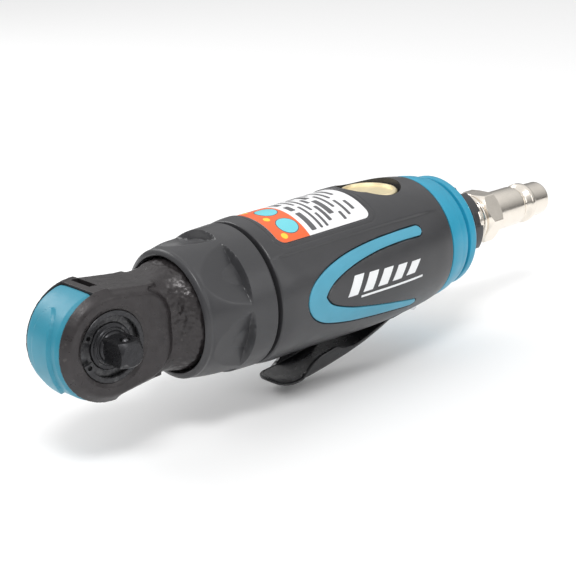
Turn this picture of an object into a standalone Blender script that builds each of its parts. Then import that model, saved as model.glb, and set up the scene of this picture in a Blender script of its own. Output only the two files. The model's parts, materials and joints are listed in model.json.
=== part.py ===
"""Mini air ratchet with a 1/4 inch square drive, as an assembly of separate pieces.

Frame: the origin is where the drive axis crosses the handle axis, +X runs along the
handle towards the air inlet, the square drive points to -Y and +Z is up.
Every length below is in millimetres; the mesh builders turn it into metres.
"""
import math

import bmesh
import bpy
from mathutils import Matrix, Vector

MM = 0.001
GAP = 0.3                  # clearance between pieces that rest on each other
RUN = 0.06                 # radial running clearance of shafts and journals

# ---- driving dimensions -------------------------------------------------------------
DRIVE_AF = 6.35            # square drive across flats
DRIVE_TIP_Y = -17.04       # end face of the square drive
DRIVE_TIP_R = 2.95         # turned end of the square
SQUARE_SHAVE = 0.45        # flat taken off each corner of the square
DETENT_Y = -14.0           # ball that holds the socket
DETENT_R = 1.2
DETENT_STAND = 0.4         # how far the ball stands out of the square
DETENT_Z = DRIVE_AF / 2.0 + DETENT_STAND - DETENT_R
FACE_Y = 9.2               # flat faces of the head, front at -FACE_Y and back at +FACE_Y
EDGE_Y = 7.3               # where the bevelled cheek meets the perimeter
PAD_NOSE_R = 11.4          # nose radius of the flat face
NOSE_R = 14.7              # nose radius of the perimeter and of the nose cover
COVER_IN_R = 12.5          # inside radius of the nose cover
HEAD_HALF_H0 = 13.9        # half height of the head at the drive axis
HEAD_HALF_H1 = 11.6        # half height of the head where the neck starts
NECK_X = 17.0              # start of the neck flare
FRONT_BORE_R = 9.24        # bore that takes the anvil from the front
BACK_BORE_R = 5.0          # journal bore in the back cheek
YOKE_HALF_W = 4.3          # half width of the yoke along the drive axis
CAVITY_HALF_W = YOKE_HALF_W + GAP
YOKE_TIP_R = 7.75          # tips of the yoke's internal teeth
YOKE_ROOT_R = 8.4
YOKE_R = 10.9              # outside of the yoke ring
YOKE_TEETH = 40
YOKE_SWING_DEG = 4.5
ANVIL_BODY_R = 7.3
CRANK_THROW = 1.2          # eccentricity of the crank pin
CRANK_PIN_R = 1.5
DRIVE_BUSH_R = 2.3
CRANK_R = 5.0              # crank journal
CRANK_BUSH_R = 7.2         # outside of the crank bearing
FORK_REACH_X = 14.5        # where the crank pin works in the fork of the yoke
YOKE_FORK_HALF = (DRIVE_BUSH_R + CRANK_THROW + GAP
                  + FORK_REACH_X * math.sin(math.radians(YOKE_SWING_DEG)))
PAWL_PIN_X = -4.6
PAWL_HALF_W = 3.4
PLUNGER_Y = 2.9            # spring plunger of the reverse knob
CLIP_R, CLIP_IN_R = 9.0, 7.7       # circlip
CLIP_EYE_R = 6.9                   # its lugs reach further in
CLIP_GAP_DEG = 9.0

NUT_X0, NUT_X1 = 22.8, 44.2        # clamp nut, front and rear
SCOOPS = 6
BODY_X0, BODY_X1 = 45.6, 113.0     # black grip housing
BODY_PROFILE = [(BODY_X0, 20.0), (48.0, 20.2), (60.0, 20.3), (75.0, 20.9), (90.0, 21.0), (100.0, 20.5),
                (105.0, 20.3), (110.0, 19.6), (BODY_X1, 19.0)]
LABEL_X0, LABEL_X1 = 51.3, 84.8    # label on the top of the grip, and its angles from +Y
LABEL_T0, LABEL_T1 = 48.5, 131.5
INLAY_DEPTH = 1.0                  # thickness of the side inlays
# centre line of a side inlay from its upper end round the bend: station, angle, half width
INLAY_LINE = [(98.5, 153.0, 1.6), (90.0, 153.0, 1.5), (80.0, 154.6, 1.6), (70.5, 159.0, 1.9),
              (62.8, 166.5, 2.3), (58.3, 176.5, 3.0), (58.0, 186.0, 3.2), (62.0, 196.5, 2.8),
              (70.4, 204.0, 2.4), (80.0, 208.5, 2.0), (89.0, 212.0, 1.6), (97.5, 216.5, 1.3)]
MOTOR_STEP_X = 47.6                # front end of the motor bore
MOTOR_BORE_R = 16.9
MOTOR_X1 = 87.6                    # rear end of the motor bore

GEAR_MODULE = 0.6
SUN_TEETH, PLANET_TEETH, RING_TEETH = 12, 15, 42
PLANETS = 3
PLANET_PIN_R = 1.3
TOOTH_BACKLASH = 0.34
GEAR_X0, GEAR_X1 = 29.3, 34.6      # planet gears
SUN_PHASE, PLANET_PHASE, RING_PHASE = 0.0, 18.0, 0.0   # turns in degrees that make the teeth mesh

ROTOR_R = 11.0
VANE_TIP_R = 11.9
VANES = 5
CYL_BORE_R, CYL_OFFSET = 13.3, 1.1

VALVE_X = 97.6             # axis of the throttle valve
CAP_HOLE_R = 9.2
CAP_R = 8.5
CAP_TOP_Z = 18.5
CAP_FLOOR_Z = 9.9          # bottom of the recess for the cap
CHAMBER_R = 5.2
STEM_R = 1.4

LEVER_PIN_X, LEVER_PIN_Z = 106.0, -17.2
LEVER_PIN_R = 1.25
LEVER_HALF_W = 6.9
LEVER_T = 1.5              # sheet thickness of the lever
LEVER_SLOT_HALF_W = 7.4
LEVER_SLOT_X0, LEVER_SLOT_X1 = 89.6, 109.8
LEVER_SLOT_TOP_Z = -14.2
LEVER_LINE = [(53.6, -26.2), (54.6, -27.1), (57.5, -28.0), (61.0, -28.5), (64.7, -28.5), (71.6, -27.8),
              (79.3, -26.6), (86.3, -25.0), (93.9, -22.6), (101.7, -19.9), (107.8, -19.5)]
LEVER_FLAP = [(64.6, -28.1), (65.8, -26.0), (67.6, -24.6), (71.0, -23.5), (74.5, -22.9), (77.3, -22.7),
              (79.4, -23.4), (82.6, -24.5), (82.6, -25.4), (71.0, -27.3)]

INLET_BORE_X0 = 107.4      # bottom of the inlet thread in the grip
INLET_BORE_R = 9.7
INLET_X1 = 136.4           # outer end of the inlet bushing
INLET_R = 11.3
INLET_NOTCHES = 6
COLLAR_X0, COLLAR_X1 = 113.3, 126.6
NIPPLE_X1 = 176.7
NIPPLE_BORE_R = 3.6
NIPPLE_AF = 15.0
NIPPLE_R = 6.3             # plain shank of the nipple
HEX_X0, HEX_X1 = 143.6, 149.4

BIG = 28                   # segments of large turned pieces
MED = 20
SMALL = 12
WIRE_SIDES = 4             # sides of a spring's wire


# ---- materials ----------------------------------------------------------------------
def material(name, colour, roughness, metallic):
    """A Principled material with one colour."""
    mat = bpy.data.materials.new(name)
    mat.use_nodes = True
    shader = mat.node_tree.nodes["Principled BSDF"]
    shader.inputs["Base Color"].default_value = (*colour, 1.0)
    shader.inputs["Roughness"].default_value = roughness
    shader.inputs["Metallic"].default_value = metallic
    mat.diffuse_color = (*colour, 1.0)
    return mat


def make_materials():
    """All finishes by name: colour, roughness, metallic."""
    finishes = {
        "cast_steel": ((0.085, 0.075, 0.078), 0.5, 0.7),
        "grip_black": ((0.055, 0.055, 0.058), 0.45, 0.0),
        "cover_blue": ((0.06, 0.30, 0.42), 0.4, 0.0),
        "inlay_blue": ((0.08, 0.38, 0.53), 0.45, 0.0),
        "black_oxide": ((0.03, 0.03, 0.032), 0.35, 0.9),
        "tool_steel": ((0.35, 0.35, 0.36), 0.35, 1.0),
        "bearing_steel": ((0.55, 0.55, 0.57), 0.25, 1.0),
        "alloy": ((0.6, 0.6, 0.62), 0.4, 1.0),
        "bronze": ((0.55, 0.36, 0.18), 0.4, 1.0),
        "brass": ((0.85, 0.62, 0.34), 0.3, 1.0),
        "nickel": ((0.75, 0.68, 0.58), 0.25, 1.0),
        "seal_rubber": ((0.02, 0.02, 0.02), 0.7, 0.0),
        "vane_resin": ((0.25, 0.13, 0.06), 0.6, 0.0),
        "label_film": ((0.8, 0.8, 0.78), 0.4, 0.0),
        "felt": ((0.3, 0.3, 0.3), 0.9, 0.0),
    }
    return {name: material(name, *values) for name, values in finishes.items()}


# ---- mesh builders ------------------------------------------------------------------
AXES = {
    "X": lambda along, u, v: Vector((along, u, v)),
    "Y": lambda along, u, v: Vector((u, along, v)),
    "Z": lambda along, u, v: Vector((u, v, along)),
}


def finish_mesh(bm, name, mat, origin, sharp_deg=32.0):
    """Closes a bmesh drawn in millimetres into an object whose origin is at origin."""
    bmesh.ops.recalc_face_normals(bm, faces=bm.faces[:])
    bmesh.ops.translate(bm, verts=bm.verts[:], vec=-Vector(origin))
    bmesh.ops.scale(bm, verts=bm.verts[:], vec=(MM, MM, MM))
    mesh = bpy.data.meshes.new(name)
    bm.to_mesh(mesh)
    bm.free()
    mesh.shade_smooth()
    mesh.set_sharp_from_angle(angle=math.radians(sharp_deg))
    obj = bpy.data.objects.new(name, mesh)
    obj.location = Vector(origin) * MM
    bpy.context.collection.objects.link(obj)
    if mat:
        mesh.materials.append(mat)
    return obj


def revolve(name, profile, mat=None, axis="X", centre=(0.0, 0.0), segments=MED, origin=(0, 0, 0)):
    """Turns (along, radius) points about an axis through centre, closing the profile."""
    place = AXES[axis]
    bm = bmesh.new()
    rings = []
    for along, radius in profile:
        if radius <= 0.0:
            rings.append([bm.verts.new(place(along, *centre))])
            continue
        ring = []
        for i in range(segments):
            a = 2.0 * math.pi * (i + 0.5) / segments
            u = centre[0] + radius * math.cos(a)
            v = centre[1] + radius * math.sin(a)
            ring.append(bm.verts.new(place(along, u, v)))
        rings.append(ring)
    pairs = list(zip(rings, rings[1:]))
    if len(rings[0]) > 1:
        pairs.append((rings[-1], rings[0]))
    for one, two in pairs:
        for i in range(segments):
            j = (i + 1) % segments
            if len(one) == 1 and len(two) == 1:
                continue
            if len(one) == 1:
                bm.faces.new((one[0], two[j], two[i]))
            elif len(two) == 1:
                bm.faces.new((one[i], one[j], two[0]))
            else:
                bm.faces.new((one[i], one[j], two[j], two[i]))
    return finish_mesh(bm, name, mat, origin)


def prism(name, outline, axis, low, high, mat=None, origin=(0, 0, 0)):
    """A flat outline of (u, v) points pulled out along an axis."""
    return loft(name, [(low, outline), (high, outline)], axis, mat, origin)


def loft(name, sections, axis, mat=None, origin=(0, 0, 0)):
    """Skins (along, outline) sections that have the same number of points."""
    place = AXES[axis]
    bm = bmesh.new()
    rings = [[bm.verts.new(place(along, u, v)) for u, v in outline] for along, outline in sections]
    count = len(rings[0])
    for one, two in zip(rings, rings[1:]):
        for i in range(count):
            j = (i + 1) % count
            bm.faces.new((one[i], one[j], two[j], two[i]))
    bm.faces.new(rings[0])
    bm.faces.new(rings[-1])
    return finish_mesh(bm, name, mat, origin)


def circle(radius, count, centre=(0.0, 0.0), phase=0.5):
    """Points evenly round a circle."""
    step = 2.0 * math.pi / count
    return [(centre[0] + radius * math.cos((i + phase) * step),
             centre[1] + radius * math.sin((i + phase) * step)) for i in range(count)]


def arc(radius, start_deg, end_deg, count, centre=(0.0, 0.0)):
    """Points along an arc, both ends included."""
    points = []
    for i in range(count):
        a = math.radians(start_deg + (end_deg - start_deg) * i / (count - 1))
        points.append((centre[0] + radius * math.cos(a), centre[1] + radius * math.sin(a)))
    return points


def box(name, low, high, mat=None, origin=(0, 0, 0)):
    """A block between two corners."""
    outline = [(low[0], low[1]), (high[0], low[1]), (high[0], high[1]), (low[0], high[1])]
    return prism(name, outline, "Z", low[2], high[2], mat, origin)


def boolean(target, tools, operation):
    """Applies EXACT Booleans with tools that are then removed."""
    for tool in tools:
        tool.hide_render = True
        tool.display_type = "WIRE"
        modifier = target.modifiers.new(operation.lower(), "BOOLEAN")
        modifier.operation = operation
        modifier.solver = "EXACT"
        modifier.object = tool
    bpy.context.view_layer.update()
    graph = bpy.context.evaluated_depsgraph_get()
    mesh = bpy.data.meshes.new_from_object(target.evaluated_get(graph))
    target.modifiers.clear()
    old = target.data
    mesh.name = old.name
    target.data = mesh
    bpy.data.meshes.remove(old)
    for tool in tools:
        bpy.data.objects.remove(tool)
    mesh.shade_smooth()
    mesh.set_sharp_from_angle(angle=math.radians(32.0))
    return target


def cut(target, *tools):
    """Takes the tools' shapes out of the target."""
    return boolean(target, tools, "DIFFERENCE")


def fuse(target, *tools):
    """Adds the tools' shapes to the target as one body."""
    return boolean(target, tools, "UNION")


def carry(child, parent):
    """Parents a piece to another without moving it."""
    child.parent = parent
    child.matrix_parent_inverse = Matrix.Translation(parent.location).inverted()


def coil(name, radius, wire_r, low, high, turns, mat, axis_point, origin, per_turn=8):
    """A compression spring about a vertical axis, with one flat turn at each end."""
    bm = bmesh.new()
    steps = int(per_turn * (turns + 2))
    rings = []
    for k in range(steps + 1):
        turn = k / per_turn
        rise = min(max(turn - 1.0, 0.0) / turns, 1.0)
        lead = 2.2 * wire_r
        z = low + wire_r + min(turn, 1.0) * lead + rise * (high - low - 2 * wire_r - 2 * lead)
        z += max(turn - 1.0 - turns, 0.0) * lead
        a = 2.0 * math.pi * turn
        ring = []
        for i in range(WIRE_SIDES):
            b = 2.0 * math.pi * i / WIRE_SIDES
            r = radius + wire_r * math.cos(b)
            x = axis_point[0] + r * math.cos(a)
            y = axis_point[1] + r * math.sin(a)
            ring.append(bm.verts.new((x, y, z + wire_r * math.sin(b))))
        rings.append(ring)
    for one, two in zip(rings, rings[1:]):
        for i in range(WIRE_SIDES):
            j = (i + 1) % WIRE_SIDES
            bm.faces.new((one[i], one[j], two[j], two[i]))
    bm.faces.new(rings[0])
    bm.faces.new(rings[-1])
    return finish_mesh(bm, name, mat, origin)


# ---- gears --------------------------------------------------------------------------
def gear_outline(teeth, addendum, dedendum, tooth_share, phase_deg, internal=False):
    """Straight-flanked teeth, four points each; tooth_share is the thickness in pitches."""
    pitch_r = GEAR_MODULE * teeth / 2.0
    tip_r = pitch_r - addendum if internal else pitch_r + addendum
    root_r = pitch_r + dedendum if internal else pitch_r - dedendum
    slope = 0.36 * GEAR_MODULE / pitch_r
    half = tooth_share * math.pi / teeth
    points = []
    for i in range(teeth):
        middle = math.radians(phase_deg) + 2.0 * math.pi * i / teeth
        lean_root = slope * dedendum / GEAR_MODULE
        lean_tip = slope * addendum / GEAR_MODULE
        for radius, a in ((root_r, middle - half - lean_root), (tip_r, middle - half + lean_tip),
                          (tip_r, middle + half - lean_tip), (root_r, middle + half + lean_root)):
            points.append((radius * math.cos(a), radius * math.sin(a)))
    return points


def tooth_share():
    """Tooth thickness as a share of half the pitch, thinned by the backlash."""
    half_pitch = math.pi * GEAR_MODULE / 2.0
    return 0.5 * (half_pitch - TOOTH_BACKLASH / 2.0) / half_pitch


def planet_centre(index):
    """Centre of a planet gear in the (Y, Z) plane."""
    reach = GEAR_MODULE * (SUN_TEETH + PLANET_TEETH) / 2.0
    a = math.radians(90.0 + 360.0 * index / PLANETS)
    return reach * math.cos(a), reach * math.sin(a)


# ---- head ---------------------------------------------------------------------------
def head_outline(nose_r, half_h0, half_h1, end_x):
    """Side outline (x, z) of the head: round nose, then flanks that draw in to the neck."""
    lean = math.degrees(math.asin((half_h0 - nose_r * 0.98) / 20.0)) if half_h0 > nose_r else 0.0
    start = 84.0 + lean
    nose = arc(nose_r, start, 360.0 - start, 23)
    top = [(end_x, half_h1), (9.0, half_h0 - (half_h0 - half_h1) * 0.42), (2.0, half_h0)]
    bottom = [(x, -z) for x, z in reversed(top)]
    return top + nose + bottom


def make_head_housing(mats):
    """Cast head with two cheeks, neck and a round flange, cut for the yoke and the crank."""
    pad = head_outline(PAD_NOSE_R, 12.0, 9.6, NECK_X)
    edge = head_outline(NOSE_R, HEAD_HALF_H0 + 0.1, HEAD_HALF_H1, NECK_X)
    core = head_outline(COVER_IN_R - GAP, HEAD_HALF_H0, HEAD_HALF_H1, NECK_X)
    sections = [(-FACE_Y, pad), (-EDGE_Y, edge), (-EDGE_Y + 0.05, core),
                (EDGE_Y - 0.05, core), (EDGE_Y, edge), (FACE_Y, pad)]
    head = loft("head_housing", sections, "Y", mats["cast_steel"])
    neck = loft("neck", [(11.0, rounded_box(8.9, 11.4, 3.2)), (NECK_X, rounded_box(9.6, 11.7, 4.5)),
                         (20.0, rounded_box(12.6, 13.4, 9.0)), (23.0, rounded_box(14.8, 14.8, 14.7)),
                         (27.1, rounded_box(14.8, 14.8, 14.7))], "X")
    flange = revolve("flange", [(27.0, 0), (27.0, 16.4), (28.7, 16.4), (28.7, 0)], segments=BIG)
    fuse(head, neck, flange)
    slot_half_h = 8.9
    swing = arc(12.9, 50.0, 310.0, 25)
    tail = [(14.0, -slot_half_h), (16.6, -7.6), (16.6, 7.6), (14.0, slot_half_h)]
    cavity = prism("cavity", swing + tail, "Y", -CAVITY_HALF_W, CAVITY_HALF_W)
    front = revolve("front_bore", [(-12, 0), (-12, FRONT_BORE_R), (-4.4, FRONT_BORE_R), (-4.4, 0)],
                    axis="Y", segments=BIG)
    back = revolve("back_bore", [(4.4, 0), (4.4, BACK_BORE_R), (12, BACK_BORE_R), (12, 0)],
                   axis="Y", segments=MED)
    crank = revolve("crank_bore", [(15.0, 0), (15.0, 6.2), (17.4, 6.2), (17.4, CRANK_BUSH_R + 0.1),
                                   (25.9, CRANK_BUSH_R + 0.1), (25.9, 11.9), (30.0, 11.9), (30.0, 0)],
                    segments=MED)
    slot_top = box("slot_top", (-0.9, -3.6, 11.0), (1.4, 5.0, 16.0))
    slot_bottom = box("slot_bottom", (-0.9, -5.0, -16.0), (1.4, 3.6, -11.0))
    return cut(head, cavity, front, back, crank, slot_top, slot_bottom)


def rounded_box(half_y, half_z, corner):
    """Rounded rectangle in (y, z) with five points on each corner."""
    points = []
    for sy, sz, start in ((1, 1, 0), (-1, 1, 90), (-1, -1, 180), (1, -1, 270)):
        centre = (sy * (half_y - corner), sz * (half_z - corner))
        points += arc(corner, start, start + 90, 6, centre)
    return points


def make_nose_cover(mats):
    """Blue band round the nose that closes the open end of the yoke slot."""
    start, end, steps = 103.0, 257.0, 25
    half_w = EDGE_Y - 0.05 - GAP
    outer_r = NOSE_R + 0.05
    ridge = []
    for i in range(steps):
        t = i / (steps - 1)
        ridge.append(0.5 * max(0.0, math.sin(math.pi * min(max((t - 0.2) / 0.6, 0.0), 1.0))))
    bm = bmesh.new()
    rings = []
    for i in range(steps):
        a = math.radians(start + (end - start) * i / (steps - 1))
        swell = ridge[i]
        ring = []
        for y, r in ((-half_w, COVER_IN_R), (-half_w, outer_r - 0.3), (-half_w + 0.5, outer_r),
                     (0.0, outer_r + swell), (half_w - 0.5, outer_r), (half_w, outer_r - 0.3),
                     (half_w, COVER_IN_R)):
            ring.append(bm.verts.new((r * math.cos(a), y, r * math.sin(a))))
        rings.append(ring)
    for one, two in zip(rings, rings[1:]):
        for i in range(7):
            j = (i + 1) % 7
            bm.faces.new((one[i], one[j], two[j], two[i]))
    bm.faces.new(rings[0])
    bm.faces.new(rings[-1])
    return finish_mesh(bm, "nose_cover", mats["cover_blue"], (0, 0, 0))


def make_anvil(mats):
    """Square drive with its flange, the body that carries the pawl, and the rear journal."""
    turned = [(8.9, 0), (8.9, BACK_BORE_R - 0.1), (4.3, BACK_BORE_R - 0.1), (4.3, ANVIL_BODY_R),
              (-4.6, ANVIL_BODY_R), (-4.6, 8.9), (-5.6, 8.9), (-5.6, 5.9), (-8.15, 5.9),
              (-8.15, 4.3), (-8.9, 4.3), (-8.9, 3.9), (-9.5, 3.9), (-9.5, 0)]
    anvil = revolve("drive_anvil", turned, mats["black_oxide"], axis="Y", segments=MED)
    half = DRIVE_AF / 2.0
    short = half - SQUARE_SHAVE
    octagon = [(half, -short), (half, short), (short, half), (-short, half),
               (-half, short), (-half, -short), (-short, -half), (short, -half)]
    tip = [(DRIVE_TIP_R * math.cos(math.atan2(v, u)), DRIVE_TIP_R * math.sin(math.atan2(v, u)))
           for u, v in octagon]
    square = loft("square", [(-9.0, octagon), (DRIVE_TIP_Y + 1.0, octagon), (DRIVE_TIP_Y, tip)], "Y")
    fuse(anvil, square)
    pocket = box("pocket", (-9.0, -3.7, -6.0), (-2.0, 3.7, 6.0))
    knob_bore = revolve("knob_bore", [(1.4, 0), (1.4, 3.0), (12.0, 3.0), (12.0, 0)], axis="Y", segments=20)
    pin_hole = revolve("pin_hole", [(-4.25, 0), (-4.25, 1.0), (12.0, 1.0), (12.0, 0)],
                       axis="Y", centre=(PAWL_PIN_X, 0.0), segments=SMALL)
    ball_hole = revolve("ball_hole", [(-1.6, 0), (-1.6, 1.3), (6.0, 1.3), (6.0, 0)],
                        axis="Z", centre=(0.0, DETENT_Y), segments=12)
    return cut(anvil, pocket, knob_bore, pin_hole, ball_hole)


def make_detent(mats, anvil):
    """Spring-loaded ball that holds a socket on the square."""
    profile = [(DETENT_Z - DETENT_R * math.cos(math.pi * i / 8), DETENT_R * math.sin(math.pi * i / 8))
               for i in range(9)]
    profile[0] = (profile[0][0], 0.0)
    profile[-1] = (profile[-1][0], 0.0)
    centre = (0.0, DETENT_Y)
    ball = revolve("detent_ball", profile, mats["bearing_steel"], "Z", centre, 12, (0, DETENT_Y, DETENT_Z))
    spring = coil("detent_spring", 0.75, 0.2, -1.5, DETENT_Z - DETENT_R - 0.1, 2, mats["tool_steel"],
                  centre, (0, DETENT_Y, -1.5), 6)
    carry(ball, anvil)
    carry(spring, anvil)


def make_pawl_set(mats, anvil):
    """Rocking pawl on its pin in the anvil, and the reverse knob with its plunger."""
    half = [(-3.5, 0.0), (-3.5, 1.6), (-4.3, 4.8), (-5.3, 4.8), (-6.2, 3.4), (-6.6, 1.6), (-6.6, 0.0)]
    outline = half + [(x, -z) for x, z in reversed(half[1:-1])]
    pawl = prism("pawl", outline, "Y", -PAWL_HALF_W, PAWL_HALF_W, mats["tool_steel"], (PAWL_PIN_X, 0, 0))
    cut(pawl, revolve("hole", [(-5, 0), (-5, 0.96), (5, 0.96), (5, 0)], axis="Y", centre=(PAWL_PIN_X, 0),
                      segments=SMALL))
    pin = revolve("pawl_pin", [(-4.0, 0), (-4.0, 0.9), (4.1, 0.9), (4.1, 0)], mats["bearing_steel"],
                  "Y", (PAWL_PIN_X, 0), SMALL)
    carry(pawl, anvil)
    carry(pin, anvil)
    knob = revolve("reverse_knob", [(2.0, 0), (2.0, 2.94), (9.5, 2.94), (9.5, 7.4), (10.0, 7.7),
                                    (11.2, 7.7), (11.8, 7.2), (11.8, 0)],
                   mats["black_oxide"], "Y", segments=MED)
    tab = prism("tab", [(-1.7, -8.6), (1.7, -8.6), (2.6, 0.0), (1.7, 6.4), (-1.7, 6.4), (-2.6, 0.0)],
                "Y", 11.0, 13.6)
    fuse(knob, tab)
    cut(knob, revolve("cross_hole", [(-6, 0), (-6, 0.95), (-0.6, 0.95), (-0.6, 0)],
                      centre=(PLUNGER_Y, 0.0), segments=SMALL))
    plunger = revolve("pawl_plunger", [(-3.25, 0), (-3.05, 0.5), (-2.6, 0.85), (-0.9, 0.85), (-0.9, 0)],
                      mats["bearing_steel"], "X", (PLUNGER_Y, 0.0), 12)
    carry(knob, anvil)
    carry(plunger, knob)


def make_seat_rings(mats):
    """Circlip, spring washer and thrust washer in the front bore."""
    steps = 33
    angles = [180.0 + CLIP_GAP_DEG + (360.0 - 2 * CLIP_GAP_DEG) * i / (steps - 1) for i in range(steps)]
    outer = [(CLIP_R * math.cos(math.radians(a)), CLIP_R * math.sin(math.radians(a))) for a in angles]
    inner = []
    for i, a in enumerate(angles):
        r = CLIP_EYE_R if min(i, steps - 1 - i) < 3 else CLIP_IN_R
        inner.append((r * math.cos(math.radians(a)), r * math.sin(math.radians(a))))
    prism("circlip", outer + list(reversed(inner)), "Y", -8.95, -8.15, mats["black_oxide"])
    revolve("spring_washer", [(-7.75, 6.25), (-7.25, 6.25), (-7.05, 8.9), (-7.75, 8.9)],
            mats["black_oxide"], "Y", segments=MED)
    revolve("thrust_washer", [(-6.7, 6.2), (-5.95, 6.2), (-5.95, 8.95), (-6.7, 8.95)],
            mats["bronze"], "Y", segments=MED)


def make_yoke(mats):
    """Toothed ring with a fork that the crank swings about the drive axis."""
    teeth = []
    for i in range(2 * YOKE_TEETH):
        a = math.pi * i / YOKE_TEETH
        r = YOKE_TIP_R if i % 2 == 0 else YOKE_ROOT_R
        teeth.append((r * math.cos(a), r * math.sin(a)))
    yoke = revolve("ratchet_yoke", [(-YOKE_HALF_W, 0), (-YOKE_HALF_W, YOKE_R), (YOKE_HALF_W, YOKE_R),
                                    (YOKE_HALF_W, 0)], mats["tool_steel"], "Y", segments=BIG)
    inside = YOKE_FORK_HALF
    for name, side in (("upper_arm", 1), ("lower_arm", -1)):
        arm = [(7.4, side * inside), (15.6, side * inside), (15.6, side * (inside + 1.6)),
               (13.6, side * (inside + 2.3)), (7.0, side * (inside + 3.2))]
        fuse(yoke, prism(name, arm, "Y", -YOKE_HALF_W, YOKE_HALF_W))
    return cut(yoke, prism("teeth", teeth, "Y", -9.0, 9.0))


# ---- gear train ---------------------------------------------------------------------
def make_crank(mats):
    """Crank with its journal, planet carrier disc and eccentric pin, plus what it carries."""
    crank = revolve("crank_carrier", [(16.9, 0), (16.9, CRANK_R - RUN), (26.2, CRANK_R - RUN), (26.2, 11.2),
                                      (28.7, 11.2), (28.7, 0)], mats["tool_steel"], segments=MED)
    pin = revolve("pin", [(12.2, 0), (12.2, CRANK_PIN_R), (17.2, CRANK_PIN_R), (17.2, 0)],
                  centre=(0.0, CRANK_THROW), segments=SMALL)
    fuse(crank, pin)
    holes = [revolve("hole", [(26.6, 0), (26.6, 1.55), (30, 1.55), (30, 0)], centre=planet_centre(i),
                     segments=SMALL) for i in range(PLANETS)]
    cut(crank, *holes)
    bush = revolve("drive_bushing", [(12.5, CRANK_PIN_R + RUN), (16.2, CRANK_PIN_R + RUN),
                                     (16.2, DRIVE_BUSH_R - 0.3), (15.4, DRIVE_BUSH_R), (13.2, DRIVE_BUSH_R),
                                     (12.5, DRIVE_BUSH_R - 0.3)],
                   mats["bronze"], "X", (0.0, CRANK_THROW), SMALL)
    carry(bush, crank)
    make_planet_pins(mats, crank)
    revolve("crank_bearing", [(17.7, CRANK_R + RUN), (25.6, CRANK_R + RUN), (25.6, CRANK_BUSH_R),
                              (17.7, CRANK_BUSH_R)], mats["bronze"], segments=MED)
    return crank


def make_planet_pins(mats, crank):
    """Three pressed pins that the planet gears turn on."""
    for index in range(PLANETS):
        centre = planet_centre(index)
        pin = revolve("planet_pin_%d" % (index + 1), [(26.9, 0), (26.9, PLANET_PIN_R), (35.2, PLANET_PIN_R),
                                                      (35.2, 0)], mats["bearing_steel"], "X", centre, SMALL)
        carry(pin, crank)


def make_gears(mats, crank):
    """Ring gear in the nut and three planets on the carrier."""
    share = tooth_share()
    ring_teeth = gear_outline(RING_TEETH, 0.5, 0.75, share, RING_PHASE, internal=True)
    rim = revolve("ring_gear", [(29.1, 0), (29.1, 16.3), (35.9, 16.3), (35.9, 0)], mats["tool_steel"],
                  segments=BIG)
    cut(rim, prism("teeth", ring_teeth, "X", 20.0, 50.0))
    for index in range(PLANETS):
        cy, cz = planet_centre(index)
        teeth = gear_outline(PLANET_TEETH, 0.5, 0.7, share, PLANET_PHASE)
        teeth = [(cy + u, cz + v) for u, v in teeth]
        gear = prism("planet_gear_%d" % (index + 1), teeth, "X", GEAR_X0, GEAR_X1, mats["tool_steel"],
                     (GEAR_X0, cy, cz))
        hole_r = PLANET_PIN_R + RUN
        cut(gear, revolve("bore", [(20, 0), (20, hole_r), (50, hole_r), (50, 0)], centre=(cy, cz),
                          segments=SMALL))
        carry(gear, crank)


# ---- air motor ----------------------------------------------------------------------
def make_rotor(mats):
    """Slotted rotor with its shaft and sun pinion, and the vanes in their slots."""
    slot_half = 0.75
    outline = []
    for index in range(VANES):
        middle = 360.0 * index / VANES
        edge = math.degrees(math.asin(slot_half / ROTOR_R))
        a = math.radians(middle)
        for r, side in ((6.0, -1), (6.0, 1)):
            u, v = r, side * slot_half
            outline.append((u * math.cos(a) - v * math.sin(a), u * math.sin(a) + v * math.cos(a)))
        outline += arc(ROTOR_R, middle + edge, middle + 360.0 / VANES - edge, 7)
    rotor = prism("rotor", outline, "X", 50.9, 81.1, mats["tool_steel"])
    shaft = revolve("shaft", [(33.0, 0), (33.0, 2.6), (37.6, 2.6), (37.6, 2.9), (51.5, 2.9), (51.5, 4.4),
                              (80.5, 4.4), (80.5, 2.9), (87.0, 2.9), (87.0, 0)], segments=20)
    share = tooth_share()
    sun = prism("sun", gear_outline(SUN_TEETH, 0.5, 0.7, share, SUN_PHASE), "X", GEAR_X0, 37.0)
    fuse(rotor, shaft, sun)
    for index in range(VANES):
        a = 2.0 * math.pi * index / VANES
        half = slot_half - 0.12
        corners = [(6.5, -half), (6.5, half), (VANE_TIP_R, half), (VANE_TIP_R, -half)]
        outline = [(r * math.cos(a) - v * math.sin(a), r * math.sin(a) + v * math.cos(a)) for r, v in corners]
        vane = prism("rotor_vane_%d" % (index + 1), outline, "X", 51.1, 80.9, mats["vane_resin"])
        carry(vane, rotor)


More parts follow.
